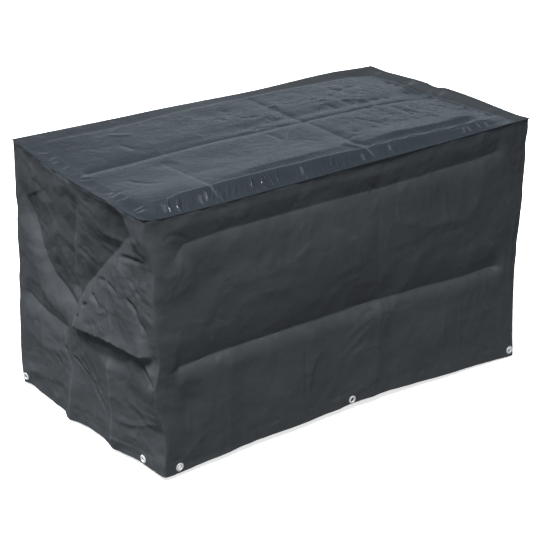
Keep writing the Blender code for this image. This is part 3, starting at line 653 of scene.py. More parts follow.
def settle(side, points):
    """Where places read off the wall as a flat plane, seen from the front left, lie on the hanging cloth."""
    slide_s, slide_d = SETTLE[side]
    seen = np.array(points, float)
    place = seen.copy()
    for _ in range(3):
        rise, _ = large_rise(side, place[:, 0], place[:, 1])
        spot = wall_base(side, place[:, 0], place[:, 1])
        axis = 0 if WALLS[side]["out"][0] else 1
        plane = (LENGTH, WIDTH)[axis] / 2
        stands_out = spot[:, axis] * WALLS[side]["out"][axis] - plane + rise
        place = seen + stands_out[:, None] * (slide_s, slide_d)
    return [tuple(point) for point in place]


def add_details(side, relief):
    """The small creases, crumples and hem weld of a wall."""
    s, d = relief.s, relief.d
    seed = WALL_ORDER.index(side) * 100 + 11
    length = WALLS[side]["length"]
    for height, over, under, points in FINE_CREASES[side]:
        pinch = VALLEY_SHAPE if height < 0 else RIDGE_SHAPE
        # Valleys get painted shade along their lines, and ridges a paler line of wear and painted highlight.
        marked = max(-1.2, min(0.8, height / 5))
        points = settle(side, points)
        relief.crease(height * CREASE_DEPTH, over * pinch[0], under * pinch[1], points, marked=marked)
    relief.scatter(seed, int(length / 40), (20, 40, length - 20, 545), (25, 70), (7, 14), (0.2, 0.6))
    hem_area = (10, 540, length - 10, 562)
    relief.scatter(seed + 1, int(length / 30), hem_area, (8, 22), (4, 8), (0.3, 0.8), (1.0, 2.1))
    size, height, number = WALL_WAVES
    relief.rise += noise(s, d, size, seed + number) * height
    for size, height, number in WALL_CRUMPLES:
        relief.rise += crumple(s, d, size, seed + number) * height * WALLS[side].get("crumple", 1.0)
    end = np.minimum(s, length - s)
    seam_shows = smooth_step((noise(s, d, 90.0, seed + 6) + 0.3) * 2)
    relief.rise += SEAM_RISE * np.exp(-((end - SEAM_ALLOWANCE) / 2.4) ** 2) * seam_shows
    weld = HEIGHT - HEM_HEIGHT - WELD_ABOVE_HEM + noise(s, s * 0 + 5.0, 60.0, seed + 7) * 1.2
    patches = smooth_step(noise(s, s * 0, 34.0, seed + 8) * 3)
    relief.rise -= (0.15 + 0.9 * patches) * np.exp(-((d - weld) / 2.6) ** 2)
    hold = smooth_step(end / 9.0) * smooth_step((d + 2) / 12.0)
    relief.rise *= hold
    relief.mark *= hold


def spread(start, end, step, busy=None):
    """Values from start to end, one step apart, and closer together in a busy stretch."""
    if busy is None:
        return np.linspace(start, end, int(round((end - start) / step)) + 1)
    stops = (start, busy[0], busy[1], end)
    lines = [np.array((start,))]
    for first, last, size in zip(stops, stops[1:], (step * 1.3, step * 0.875, step * 1.3)):
        if last > first:
            lines.append(np.linspace(first, last, int(round((last - first) / size)) + 1)[1:])
    return np.concatenate(lines)


def shape_wall(side, step):
    """Points of a wall's outer face, its outward normals and crease marks, on a grid of its pattern."""
    wall = WALLS[side]
    length = wall["length"]
    ends = np.linspace(0.0, CORNER_ROUND, 5)
    inner = spread(ends[-1], length - ends[-1], step, wall.get("busy_s"))
    s_lines = np.concatenate((ends[:-1], inner, length - ends[-2::-1]))
    d_lines = spread(1.5, HEIGHT, step, wall.get("busy_d"))
    relief = Relief(s_lines, d_lines)
    add_details(side, relief)
    rise, mark = large_rise(side, relief.s, relief.d)
    relief.mark += mark
    spot = wall_base(side, relief.s, relief.d)
    end = np.minimum(relief.s, length - relief.s)
    tuck = -(wall["tuck"][0] + 1.5 * noise(relief.s, relief.s * 0, 24.0, 77)) * smooth_step(end / 16.0)
    tuck *= smooth_step(1 - relief.d / wall["tuck"][1])
    spot += (rise + relief.rise + tuck)[..., None] * np.array((*wall["out"], 0.0))
    for eyelet, up in wall["eyelets"]:
        centre, along, down, _ = eyelet_frame(side, eyelet, HEIGHT - up)
        a, b = relief.s - eyelet, relief.d - (HEIGHT - up)
        hold = smooth_step((EYELET_FADE - np.hypot(a, b)) / (EYELET_FADE - EYELET_FLAT))[..., None]
        spot = spot * (1 - hold) + (centre + a[..., None] * along + b[..., None] * down) * hold
    spot = round_corners(side, spot, relief.s)
    normal = np.cross(np.gradient(spot, axis=1), np.gradient(spot, axis=0))
    for row, beside in zip((0, -1), neighbours(side)):
        normal[row] = (wall["out"][0] + beside[0], wall["out"][1] + beside[1], 0.0)
    normal /= np.linalg.norm(normal, axis=-1, keepdims=True)
    return relief, spot, normal


def snap_holes(side, relief, spot):
    """Move the grid's points near each eyelet's hole onto its rim. Says which cells stay."""
    keep = np.ones((relief.s.shape[0] - 1, relief.s.shape[1] - 1), bool)
    step = relief.d_lines[-1] - relief.d_lines[-2]
    for eyelet, up in WALLS[side]["eyelets"]:
        a, b = relief.s - eyelet, relief.d - (HEIGHT - up)
        far = np.hypot(a, b)
        rim = np.abs(far - EYELET_HOLE) < step * 0.72
        centre, along, down, _ = eyelet_frame(side, eyelet, HEIGHT - up)
        stretch = EYELET_HOLE / np.maximum(far, 0.01)
        a, b = np.where(rim, a * stretch, a), np.where(rim, b * stretch, b)
        moved = centre + a[..., None] * along + b[..., None] * down
        spot[rim] = moved[rim]
        mid_a = (a[:-1, :-1] + a[1:, :-1] + a[:-1, 1:] + a[1:, 1:]) / 4
        mid_b = (b[:-1, :-1] + b[1:, :-1] + b[:-1, 1:] + b[1:, 1:]) / 4
        keep &= np.hypot(mid_a, mid_b) > EYELET_HOLE * 0.97
    return keep


def make_sheet(name, outer, inner, keep, pattern, mark):
    """A closed thin sheet from two grids of points, in millimetres. keep says which cells are there."""
    rows, columns = outer.shape[:2]
    count = rows * columns
    index = np.arange(count).reshape(rows, columns)
    a, b, c, d = index[:-1, :-1][keep], index[:-1, 1:][keep], index[1:, 1:][keep], index[1:, :-1][keep]
    front = np.stack((a, b, c, d), 1)
    edges = np.concatenate([front[:, [i, (i + 1) % 4]] for i in range(4)])
    keys, back_keys = edges[:, 0] * count + edges[:, 1], edges[:, 1] * count + edges[:, 0]
    rim = edges[~np.isin(keys, back_keys)]
    sides = np.stack((rim[:, 1], rim[:, 0], rim[:, 0] + count, rim[:, 1] + count), 1)
    faces = np.concatenate((front, front[:, ::-1] + count, sides))
    points = np.concatenate((outer.reshape(-1, 3), inner.reshape(-1, 3)))
    used, faces = np.unique(faces, return_inverse=True)
    faces = faces.reshape(-1, 4)
    points = points[used]
    places = np.concatenate((pattern.reshape(-1, 2),) * 2)[used]
    marks = np.concatenate((mark.ravel(),) * 2)[used]
    mesh = bpy.data.meshes.new(name)
    mesh.vertices.add(len(points))
    mesh.vertices.foreach_set("co", (points * MM).ravel())
    mesh.loops.add(faces.size)
    mesh.loops.foreach_set("vertex_index", faces.ravel().astype(np.int32))
    mesh.polygons.add(len(faces))
    mesh.polygons.foreach_set("loop_start", np.arange(0, faces.size, 4, dtype=np.int32))
    mesh.update(calc_edges=True)
    layer = mesh.uv_layers.new(name="Pattern")
    layer.data.foreach_set("uv", (places[faces.ravel()] * MM).ravel())
    # Crease marks for the material: paler wear with a painted highlight where positive, painted shade where
    # negative.
    wear_highlight_and_shade = mesh.attributes.new("crease", "FLOAT", "POINT")
    wear_highlight_and_shade.data.foreach_set("value", np.clip(marks, -1.0, 1.0).astype(np.float32))
    mesh.shade_smooth()
    mesh.set_sharp_from_angle(angle=radians(50))
    mesh.validate()
    piece = bpy.data.objects.new(name, mesh)
    bpy.context.scene.collection.objects.link(piece)
    return piece


def finish_piece(piece, material, slot, *nodes):
    """Give a piece its material, hide the solids that it stands for and hang it from the root. slot is not
    used.
    """
    piece.data.materials.append(material)
    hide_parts(*nodes)
    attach(piece, "root")


def make_wall(side, fabric, hem_fabric):
    """A wall's cloth with its holes, and the turned-in hem behind its foot."""
    relief, spot, normal = shape_wall(side, GRID_STEP[side])
    keep = snap_holes(side, relief, spot)
    pattern = np.stack((relief.s, relief.d), -1)
    cloth = make_sheet(side + "_cloth", spot, spot - normal * THICK, keep, pattern, relief.mark)
    finish_piece(cloth, fabric, "cover_wall", side + "_panel")
    first = int(np.searchsorted(relief.d_lines, HEIGHT - HEM_HEIGHT))
    low = (slice(None), slice(first, None))
    front = spot[low] - normal[low] * (THICK + HEM_GAP)
    back = front - normal[low] * HEM_THICK
    marks = relief.mark[low] * 0.3
    strip = make_sheet(side + "_turned_hem", front, back, keep[:, first:], pattern[low], marks)
    finish_piece(strip, hem_fabric, "cover_hem", side + "_hem")
    return cloth, strip


def crown_rise(p, q):
    """The top's rise over a surface stretched between its edges."""
    rows = np.stack([read(CROWN, p, len(CROWN_Y) - k) for k in range(len(CROWN_Y))])
    return smooth_curve(np.array(CROWN_Y[::-1], float), rows, q)


def top_base(p, q):
    """Where the points (p, q) of the top's pattern lie, without band and small creases."""
    u, v = p / LENGTH + 0.5, q / WIDTH + 0.5
    tops = {name: np.array(corner["top"], float) for name, corner in CORNERS.items()}
    front, back = edge_point("front", u, "top"), edge_point("back", 1 - u, "top")
    left, right = edge_point("left", 1 - v, "top"), edge_point("right", v, "top")
    u, v = u[..., None], v[..., None]
    low = tops["front_left"] * (1 - u) + tops["front_right"] * u
    high = tops["back_left"] * (1 - u) + tops["back_right"] * u
    spot = front * (1 - v) + back * v + left * (1 - u) + right * u - low * (1 - v) - high * v
    spot[..., 2] += crown_rise(p, q) + EDGE_LEVEL
    return spot


def add_top_details(relief):
    """The top's band, puckers, creases and crumples."""
    p, q = relief.s, relief.d
    from_end, from_side = LENGTH / 2 - np.abs(p), WIDTH / 2 - np.abs(q)
    inside = np.minimum(from_end, from_side)
    for height, over, under, points in FINE_CREASES["top"]:
        relief.crease(height, over, under, points)
    for row in TOP_SCATTERS:
        relief.scatter(*row)
    raise_band(relief, from_end, from_side)
    raise_back_ridge(relief, from_end)
    corner_roll = np.exp(-((p - 448) / 60) ** 2 - ((q + 238) / 36) ** 2)
    relief.rise += CORNER_ROLL * corner_roll * smooth_step(from_side / 40) * smooth_step(from_end / 50)
    pucker_band(relief)
    relief.rise += sum(noise(p, q, size, seed) * height for size, height, seed in TOP_WAVES)
    relief.rise += sum(crumple(p, q, size, seed) * height for size, height, seed in TOP_CRUMPLES)
    relief.rise *= smooth_step((inside - 1.0) / 9.0)
    relief.mark *= smooth_step(inside / 5.0)


def raise_band(relief, from_end, from_side):
    """The raised band round the top. Its inner edge is a ridge, scalloped where the front is drawn in."""
    p, q = relief.s, relief.d
    inner = BAND_WIDTH + noise(p, q, 70.0, 620) * 1.6
    at_front = smooth_step((-q - 150) / 60)
    scallop = np.abs(np.sin((p - 88) * pi / SCALLOP_PITCH + noise(p, q * 0, 60.0, 625)))
    drawn_in = SCALLOP_DEPTH * (scallop - 0.6) * at_front
    inner = inner - drawn_in * smooth_step((p - 70) / 30) * smooth_step((470 - p) / 20)
    at_left = smooth_step((-p - 400) / 60)
    inner = inner - BAND_NARROWER * at_left
    band = -BAND_ROUND * np.log(np.exp(-from_end / BAND_ROUND) + np.exp(-from_side / BAND_ROUND))
    crisp = (1 - 0.7 * smooth_step((q - 150) / 60)) * (1 - 0.7 * at_left)
    relief.rise += BAND_STEP * smooth_step((inner + 3 - band) / 4.0) * crisp
    relief.rise += BAND_RIM * np.exp(-((band - inner) / 2.6) ** 2) * crisp
    # A paler line along the band's ridge: wear and a painted highlight.
    relief.mark += 0.5 * np.exp(-((band - inner) / LINE_WIDTH) ** 2) * crisp


def raise_back_ridge(relief, from_end):
    """The low ridge along the back band's inner edge, lower towards its left end."""
    p, q = relief.s, relief.d
    along_back = smooth_step((from_end - 46) / 40) * (0.45 + 0.55 * smooth_step((p + 260) / 120))
    crest = 232 - 8 * ((p - 60) / 500) ** 2
    reach = np.where(q > crest, 15, 60)
    ridge = crease_profile(np.abs(q - crest), reach, 2.5, 1.0)
    relief.rise += BACK_RIDGE * along_back * ridge
    # A paler line along the ridge: wear and a painted highlight.
    relief.mark += 0.7 * along_back * np.exp(-((q - crest - 3) / 3.0) ** 2)


def pucker_band(relief):
    """Slanting puckers where the seam band is drawn in along the edges."""
    rng = np.random.default_rng(640)
    half_p, half_q = LENGTH / 2, WIDTH / 2
    for p in PUCKERS_AT:
        height = rng.uniform(0.8, 1.4)
        start = rng.uniform(4, 14)
        points = ((p - 11, start - half_q), (p - 6, 22 - half_q), (p, start + 26 - half_q))
        relief.crease(height, 5, 4, points, blunt=1.0)
    for _ in range(FRONT_PUCKERS):
        p = rng.uniform(90, 480)
        lean = rng.uniform(6, 24)
        points = ((p - lean, rng.uniform(6, 18) - half_q), (p, 40 - half_q))
        relief.crease(rng.uniform(0.1, 0.35), rng.uniform(6, 12), rng.uniform(5, 8), points, blunt=1.0)
    for _ in range(BACK_PUCKERS):
        p = rng.uniform(-500, 500)
        lean = rng.uniform(-14, 14)
        points = ((p - lean, half_q - 6), (p, half_q - rng.uniform(22, 38)))
        relief.crease(rng.uniform(0.2, 0.7), rng.uniform(4, 8), rng.uniform(4, 7), points, blunt=1.0)
    for sign, count in SIDE_PUCKERS:
        for _ in range(count):
            q = rng.uniform(-265, 265)
            lean = rng.uniform(4, 18) * rng.choice((-1, 1))
            points = ((sign * (half_p - 8), q - lean), (sign * (half_p - rng.uniform(26, 42)), q))
            relief.crease(rng.uniform(0.2, 0.6), rng.uniform(4, 9), rng.uniform(4, 8), points, blunt=1.0)


def make_top(fabric):
    """The top's cloth, with its edge curling down over the walls."""
    half_p, half_q = LENGTH / 2, WIDTH / 2
    turns = np.array((0.25, 0.5, 0.75, 1.0)) * pi / 2 * LIP_ROUND
    inset = LIP_ROUND - LIP_PROUD
    p_in = np.linspace(-half_p + inset, half_p - inset, 300)
    fine = np.arange(-half_q + inset, -half_q + 60, 2.4)
    q_in = np.concatenate((fine, np.linspace(-half_q + 60, half_q - inset, 122)))
    p_lines = np.concatenate((p_in[0] - turns[::-1], p_in, p_in[-1] + turns))
    q_lines = np.concatenate((q_in[0] - turns[::-1], q_in, q_in[-1] + turns))
    relief = Relief(p_lines, q_lines, down=-1)
    p = np.clip(relief.s, p_in[0], p_in[-1])
    q = np.clip(relief.d, q_in[0], q_in[-1])
    add_top_details(relief)
    folds = np.zeros_like(p)
    for fold in TOP_FOLDS.values():
        lift, line = fold_rise(fold, p, q, -1)
        folds += lift * TOP_DEPTH
        relief.mark += line
    inside = np.minimum(half_p - np.abs(p), half_q - np.abs(q))
    spot = top_base(p, q)
    spot[..., 2] += folds * smooth_step(inside / TOP_FADE) + relief.rise
    beyond_p, beyond_q = relief.s - p, relief.d - q
    beyond = np.maximum(np.abs(beyond_p), np.abs(beyond_q))
    turn = beyond / LIP_ROUND
    size = np.maximum(np.hypot(beyond_p, beyond_q), 1e-9)
    spot[..., 0] += beyond_p / size * LIP_ROUND * np.sin(turn)
    spot[..., 1] += beyond_q / size * LIP_ROUND * np.sin(turn)
    spot[..., 2] -= LIP_ROUND * (1 - np.cos(turn))
    normal = np.cross(np.gradient(spot, axis=0), np.gradient(spot, axis=1))
    normal /= np.linalg.norm(normal, axis=-1, keepdims=True)
    keep = np.ones((len(p_lines) - 1, len(q_lines) - 1), bool)
    outer = np.flip(spot, 0)
    inner = np.flip(spot - normal * THICK, 0)
    pattern = np.flip(np.stack((relief.s, relief.d), -1), 0)
    cloth = make_sheet("top_cloth", outer, inner, keep, pattern, np.flip(relief.mark, 0))
    finish_piece(cloth, fabric, "cover_top", "top_panel")
    return cloth


RING_SECTION = (            # the eyelet's section: (radius, distance out of the cloth's face)
    (4.6, -2.2), (4.6, 0.2), (4.75, 0.9), (5.2, 1.45), (5.9, 1.7), (6.8, 1.7), (7.8, 1.5), (8.7, 1.15),
    (9.4, 0.7), (9.75, 0.3), (9.6, 0.05), (5.3, 0.05), (5.3, -1.85), (8.8, -1.85), (9.2, -2.05), (8.8, -2.4),
    (7.0, -2.7), (5.4, -2.7), (4.9, -2.55))
RING_STEPS = 48


def make_eyelet(number, side, s, d, metal):
    """A rolled metal ring with its washer behind the hem."""
    centre, along, down, out = eyelet_frame(side, s, d)
    turns = np.arange(RING_STEPS) * 2 * pi / RING_STEPS
    section = np.array(RING_SECTION)
    round_ring = np.cos(turns)[:, None, None] * along + np.sin(turns)[:, None, None] * down
    points = centre + round_ring * section[None, :, 0, None] + out * section[None, :, 1, None]
    rows, columns = points.shape[:2]
    faces = [(i * columns + j, i * columns + (j + 1) % columns,
              (i + 1) % rows * columns + (j + 1) % columns, (i + 1) % rows * columns + j)
             for i in range(rows) for j in range(columns)]
    name = f"eyelet_ring_{number:02d}"
    mesh = bpy.data.meshes.new(name)
    mesh.from_pydata((points * MM).reshape(-1, 3).tolist(), [], faces)
    mesh.shade_smooth()
    mesh.set_sharp_from_angle(angle=radians(60))
    ring = bpy.data.objects.new(name, mesh)
    bpy.context.scene.collection.objects.link(ring)
    finish_piece(ring, metal, "eyelet_metal", f"eyelet_{number:02d}")
    return ring


def add_node(tree, kind, inputs=None, **settings):
    """A node with its settings, and constants or links for its inputs."""
    node = tree.nodes.new(kind)
    for name, value in settings.items():
        setattr(node, name, value)
    for name, value in (inputs or {}).items():
        if isinstance(value, bpy.types.NodeSocket):
            tree.links.new(value, node.inputs[name])
        else:
            node.inputs[name].default_value = value
    return node


def calculate(tree, operation, first, second=0.0, third=0.0, clamp=False):
    """A Math node's result."""
    inputs = {0: first, 1: second, 2: third}
    return add_node(tree, "ShaderNodeMath", inputs, operation=operation, use_clamp=clamp).outputs[0]


def times(tree, first, second):
    """The product of two values."""
    return calculate(tree, "MULTIPLY", first, second)


def plus(tree, first, second, clamp=False):
    """The sum of two values."""
    return calculate(tree, "ADD", first, second, clamp=clamp)


def mixed(tree, share, first, second):
    """A blend of two colours."""
    node = add_node(tree, "ShaderNodeMix", {"Factor": share}, data_type="RGBA")
    for name, value in (("A", first), ("B", second)):
        socket = next(i for i in node.inputs if i.name == name and i.type == "RGBA")
        if isinstance(value, bpy.types.NodeSocket):
            tree.links.new(value, socket)
        else:
            socket.default_value = (*value, 1.0)
    return next(o for o in node.outputs if o.type == "RGBA")


def ramp_of(tree, value, stops):
    """A brightness for each value, read off a ramp of (value from 0 to 1, brightness)."""
    ramp = add_node(tree, "ShaderNodeValToRGB", {"Fac": value})
    elements = ramp.color_ramp.elements
    while len(elements) < len(stops):
        elements.new(0.5)
    for element, (place, level) in zip(elements, stops):
        element.position = place
        element.color = (level, level, level, 1.0)
    return ramp.outputs["Color"]


def noise_of(tree, place, **settings):
    """A noise texture's value at a place. The settings are its scale, detail, roughness and distortion."""
    inputs = {name.title(): value for name, value in settings.items()}
    return add_node(tree, "ShaderNodeTexNoise", {"Vector": place, **inputs}).outputs["Fac"]


def start_material(name, **inputs):
    """A new material, its node tree and its shader, with the shader's even inputs set."""
    material = bpy.data.materials.new(name)
    material.use_nodes = True
    shader = material.node_tree.nodes["Principled BSDF"]
    for socket, value in inputs.items():
        shader.inputs[socket.replace("_", " ")].default_value = value
    return material, material.node_tree, shader


def shade(colour, share):
    """A darker or lighter tone of a colour."""
    return tuple(part * share for part in colour)


# The cloth's materials: base colour, colour where worn, also used as a painted highlight, roughness, gloss,
# whether the seam band lies on it.
FABRICS = {
    "wall": ((0.045, 0.050, 0.055), (0.08, 0.087, 0.095), 0.46, 0.45),
    # The top is the walls' cloth with its base colour painted darker: painted shade against the stronger
    # light from above.
    "top": ((0.0105, 0.0138, 0.0172), (0.05, 0.057, 0.064), 0.24, 0.5, True),
    "hem": ((0.036, 0.040, 0.045), (0.07, 0.078, 0.085), 0.48, 0.45),
}
# Sizes of the cloth's bump, in metres.
WEAVE_PITCH = 0.0026        # two tapes
WEAVE_DEPTH = 0.00006
CRINKLE_DEPTH = 0.0012
PUCKER_DEPTH = 0.002


def make_fabric(name, base, worn_and_highlight, roughness, gloss, seam_band=False):
    """Coated woven polyethylene: a weave of flat tapes, cloudy gloss, fine crinkles, paler crease lines that
    are wear with a painted highlight, and painted shade along valley creases.

    With seam_band, the cloth is duller on the band at the back and the right, with painted shade darkening
    its colour there, and puckered along the front.
    """
    material, tree, shader = start_material(name, Specular_IOR_Level=gloss, IOR=1.5)
    place = add_node(tree, "ShaderNodeTexCoord").outputs["Object"]
    pattern = add_node(tree, "ShaderNodeUVMap", uv_map="Pattern").outputs["UV"]
    axes = add_node(tree, "ShaderNodeSeparateXYZ", {"Vector": pattern}).outputs
    waves = [calculate(tree, "SINE", times(tree, axes[k], 2 * pi / WEAVE_PITCH)) for k in (0, 1)]
    cloud = noise_of(tree, place, scale=9.0, detail=3.0)
    patch = noise_of(tree, place, scale=34.0, detail=4.0)
    crinkle = noise_of(tree, place, scale=60.0, detail=5.0, roughness=0.6, distortion=0.6)
    crease = add_node(tree, "ShaderNodeAttribute", attribute_name="crease").outputs["Fac"]

    # shadow is a painted shade colour for valley creases and the seam band.
    light, shadow = shade(base, 1.2), shade(base, 0.3)
    tone = mixed(tree, cloud, shade(base, 0.82), light)
    tone = mixed(tree, times(tree, patch, 0.3), tone, light)
    # Paler along crease lines: wear and a painted highlight.
    tone = mixed(tree, times(tree, crease, 0.65), tone, worn_and_highlight)
    # Darker along valley creases: painted shade.
    tone = mixed(tree, times(tree, crease, -0.8), tone, shadow)
    rough = calculate(tree, "MULTIPLY_ADD", cloud, 0.16, roughness - 0.08)
    rough = plus(tree, rough, times(tree, crease, 0.08), clamp=True)
    height = plus(tree, times(tree, times(tree, *waves), WEAVE_DEPTH), times(tree, crinkle, CRINKLE_DEPTH))
    if seam_band:
        band_dull_and_shaded = dull_and_shaded_band(tree, axes)
        # Darker on the back and right band: painted shade where the band turns away from the light. The added
        # roughness makes it duller.
        tone = mixed(tree, times(tree, band_dull_and_shaded, 0.6), tone, shadow)
        rough = plus(tree, rough, times(tree, band_dull_and_shaded, 0.4), clamp=True)
        height = plus(tree, height, times(tree, puckers(tree, axes), PUCKER_DEPTH))

    bump = add_node(tree, "ShaderNodeBump", {"Height": height, "Strength": 0.8, "Distance": 1.0})
    tree.links.new(tone, shader.inputs["Base Color"])
    tree.links.new(rough, shader.inputs["Roughness"])
    tree.links.new(bump.outputs["Normal"], shader.inputs["Normal"])
    return material


def dull_and_shaded_band(tree, axes):
    """1 on the top's seam band at the back and 0.8 at the right, fainter towards the back's left end. It
    dulls the band and paints shade on it.
    """
    back = ramp_of(tree, axes["Y"], ((0.0, 0.0), (0.236, 0.0), (0.243, 1.0), (1.0, 1.0)))
    right = ramp_of(tree, axes["X"], ((0.0, 0.0), (0.468, 0.0), (0.482, 0.8), (1.0, 0.8)))
    left = ramp_of(tree, axes["X"], ((0.0, 0.45), (0.2, 1.0), (1.0, 1.0)))
    return calculate(tree, "MAXIMUM", times(tree, back, left), right)


def puckers(tree, axes):
    """Fine slanting puckers in clusters along the top's front edge, from 0 to 1."""
    across = calculate(tree, "SUBTRACT", axes["X"], times(tree, axes["Y"], 0.42))
    streaks = {"X": times(tree, across, 105.0), "Y": times(tree, axes["Y"], 36.0)}
    streaks = add_node(tree, "ShaderNodeCombineXYZ", streaks).outputs[0]
    streak = noise_of(tree, streaks, scale=1.0, detail=1.5, distortion=0.3)
    streak = ramp_of(tree, streak, ((0.0, 0.0), (0.52, 0.0), (0.72, 1.0), (1.0, 1.0)))
    places = add_node(tree, "ShaderNodeCombineXYZ", {"X": times(tree, axes["X"], 11.0)}).outputs[0]
    cluster = noise_of(tree, places, scale=1.0, detail=1.0)
    cluster = ramp_of(tree, cluster, ((0.0, 0.1), (0.42, 0.15), (0.6, 1.0), (1.0, 1.0)))
    front = times(tree, axes["Y"], -1.0)
    edge = ramp_of(tree, front, (
        (0.0, 0.0), (0.238, 0.0), (0.256, 1.0), (0.282, 1.0), (0.289, 0.3), (1.0, 0.0)))
    right = ramp_of(tree, plus(tree, axes["X"], 0.5), ((0.0, 1.0), (0.56, 1.0), (0.66, 0.25), (1.0, 0.2)))
    return times(tree, times(tree, streak, cluster), times(tree, edge, right))


def make_metal():
    """Bright pressed metal with a little wear."""
    material, tree, shader = start_material("eyelet_bright_metal", Metallic=0.45)
    place = add_node(tree, "ShaderNodeTexCoord").outputs["Object"]
    grain = noise_of(tree, place, scale=900.0, detail=3.0)
    tone = mixed(tree, grain, (0.86, 0.87, 0.88), (0.96, 0.96, 0.96))
    rough = calculate(tree, "MULTIPLY_ADD", grain, 0.12, 0.26)
    bump = add_node(tree, "ShaderNodeBump", {"Height": grain, "Strength": 0.15, "Distance": 0.0002})
    tree.links.new(tone, shader.inputs["Base Color"])
    tree.links.new(rough, shader.inputs["Roughness"])
    tree.links.new(bump.outputs["Normal"], shader.inputs["Normal"])
    return material


# The camera, which looks at the cover from the front left and a little above.
VIEW_AZIMUTH = radians(-36.233)
VIEW_ELEVATION = radians(23.032)
VIEW_DISTANCE = 3.7382
VIEW_TARGET = (-0.0775, -0.0882, -0.293)
VIEW_LENS = 110.22
SENSOR = 36.0

# The studio, in metres.
FLOOR_SIZE = 400.0          # it fills the low views too
FLOOR_GLOW = 0.75           # the floor's own light, which whitens it
FLOOR_GLOW_INSET = 0.04     # it starts this far inside the cover's outline
GLOW_LIFT = 0.001           # the light that comes up from the floor lies this far over it
SUN_SPREAD = radians(18)
SUNS = (                    # name, direction towards it, strength
    ("left_key", (-0.42, 0.12, 0.90), 5.7),
    ("front_key", (-0.10, -0.42, 0.902), 0.95),
)
# The surround's brightness, on ramps of (place from 0 to 1, brightness).
SURROUND_BY_HEIGHT = (
    (0.0, 0.08), (0.48, 0.09), (0.66, 0.09), (0.71, 0.12), (0.78, 0.19), (0.88, 0.25), (1.0, 0.35))
SURROUND_ACROSS = ((0.0, 1.0), (0.5, 1.15), (0.6, 0.95), (0.65, 0.48), (1.0, 0.45))
BACKDROP_ACROSS = ((0.0, 0.0), (0.45, 0.0), (0.8, 1.0), (1.0, 1.0))
BACKDROP_BY_HEIGHT = (
    (0.50, 0.05), (0.54, 0.6), (0.575, 1.0), (0.605, 0.75), (0.64, 0.24), (0.685, 0.0))
BACKDROP_TOWARD = (0.59, 0.81)
BACKDROP_STRENGTH = 0.85
SURROUND_COLOUR = (0.87, 0.98, 1.1, 1.0)


def make_camera():
    """The camera, upright and turned towards its target."""
    data = bpy.data.cameras.new("view")
    data.lens = VIEW_LENS
    data.sensor_width = SENSOR
    camera = bpy.data.objects.new("view", data)
    bpy.context.scene.collection.objects.link(camera)
    level = cos(VIEW_ELEVATION)
    back = Vector((sin(VIEW_AZIMUTH) * level, -cos(VIEW_AZIMUTH) * level, sin(VIEW_ELEVATION)))
    right = Vector((0, 0, 1)).cross(back).normalized()
    up = back.cross(right)
    turn = Matrix((right, up, back)).transposed().to_4x4()
    camera.matrix_world = Matrix.Translation(Vector(VIEW_TARGET) + back * VIEW_DISTANCE) @ turn
    bpy.context.scene.camera = camera


def make_light(name, place, aim, size, power):
    """A soft rectangular light at a place, turned towards a point."""
    data = bpy.data.lights.new(name, "AREA")
    data.shape = "RECTANGLE"
    data.size, data.size_y = size
    data.energy = power
    light = bpy.data.objects.new(name, data)
    bpy.context.scene.collection.objects.link(light)
    light.location = place
    light.rotation_euler = (Vector(aim) - Vector(place)).to_track_quat("-Z", "Y").to_euler()
    return light


def make_glow(name, size, power):
    """Light that comes up from the floor, which isn't seen itself."""
    level = CAD_BOX[0][2] + GLOW_LIFT
    glow = make_light(name, (0, 0, level), (0, 0, level + 1), size, power)
    glow.visible_camera = False
    glow.visible_glossy = False


def make_sun(name, toward, strength):
    """A broad even light that comes from this direction."""
    data = bpy.data.lights.new(name, "SUN")
    data.energy = strength
    data.angle = SUN_SPREAD
    light = bpy.data.objects.new(name, data)
    light.rotation_euler = Vector(toward).to_track_quat("Z", "Y").to_euler()
    bpy.context.scene.collection.objects.link(light)


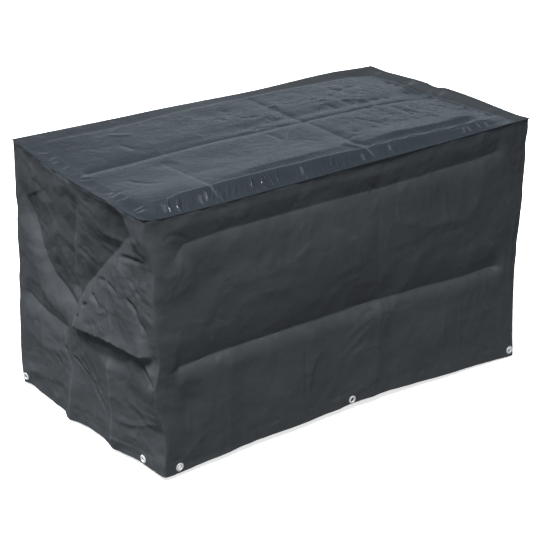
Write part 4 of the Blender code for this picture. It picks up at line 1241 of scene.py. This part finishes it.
def make_surround():
    """A dim surround with a lit backdrop low behind the cover."""
    world = bpy.data.worlds.new("studio")
    bpy.context.scene.world = world
    world.use_nodes = True
    tree = world.node_tree
    direction = add_node(tree, "ShaderNodeTexCoord").outputs["Generated"]
    axes = add_node(tree, "ShaderNodeSeparateXYZ", {"Vector": direction}).outputs
    height = plus(tree, times(tree, axes["Z"], 0.5), 0.5)
    around = ramp_of(tree, height, SURROUND_BY_HEIGHT)
    around = times(tree, around, ramp_of(tree, axes["X"], SURROUND_ACROSS))
    behind = [times(tree, axes[k], BACKDROP_TOWARD[k]) for k in (0, 1)]
    behind = ramp_of(tree, plus(tree, *behind), BACKDROP_ACROSS)
    glow = ramp_of(tree, height, BACKDROP_BY_HEIGHT)
    backdrop = times(tree, times(tree, behind, glow), BACKDROP_STRENGTH)
    background = tree.nodes["Background"]
    tree.links.new(plus(tree, around, backdrop), background.inputs["Strength"])
    background.inputs["Color"].default_value = SURROUND_COLOUR


def make_floor():
    """A white floor, which the cover stands on but doesn't mirror."""
    bpy.ops.mesh.primitive_plane_add(size=FLOOR_SIZE, location=(0, 0, CAD_BOX[0][2] - 0.0005))
    floor = bpy.context.object
    floor.name = "floor"
    material, tree, shader = start_material(
        "floor_white", Base_Color=(0.9, 0.9, 0.9, 1.0), Roughness=0.9, Specular_IOR_Level=0.0,
        Emission_Color=(1.0, 1.0, 1.0, 1.0))
    place = add_node(tree, "ShaderNodeTexCoord").outputs["Object"]
    axes = add_node(tree, "ShaderNodeSeparateXYZ", {"Vector": place}).outputs
    beyond = [calculate(tree, "GREATER_THAN", calculate(tree, "ABSOLUTE", axes[k]), half - FLOOR_GLOW_INSET)
              for k, half in ((0, LENGTH * MM / 2), (1, WIDTH * MM / 2))]
    glow = times(tree, calculate(tree, "MAXIMUM", *beyond), FLOOR_GLOW)
    tree.links.new(glow, shader.inputs["Emission Strength"])
    floor.data.materials.append(material)
    floor.visible_glossy = False
    floor.visible_diffuse = False


def make_studio():
    """The floor, the surround and soft lights."""
    make_floor()
    make_surround()
    for sun in SUNS:
        make_sun(*sun)
    make_light("front_left", (-0.9, -1.2, 1.9), (0, -0.2, -0.3), (0.8, 0.8), 58)
    make_glow("floor_bounce", (2.3, 1.9), 9)
    bpy.context.scene.view_settings.view_transform = "Standard"


def main():
    """Build every piece, then the studio."""
    fabrics = {name: make_fabric("woven_sheeting_" + name, *looks) for name, looks in FABRICS.items()}
    metal = make_metal()
    top = make_top(fabrics["top"])
    number = 0
    for side in WALL_ORDER:
        cloth, strip = make_wall(side, fabrics["wall"], fabrics["hem"])
        for s, up in WALLS[side]["eyelets"]:
            number += 1
            make_eyelet(number, side, s, HEIGHT - up, metal)
    make_studio()
    make_camera()


main()
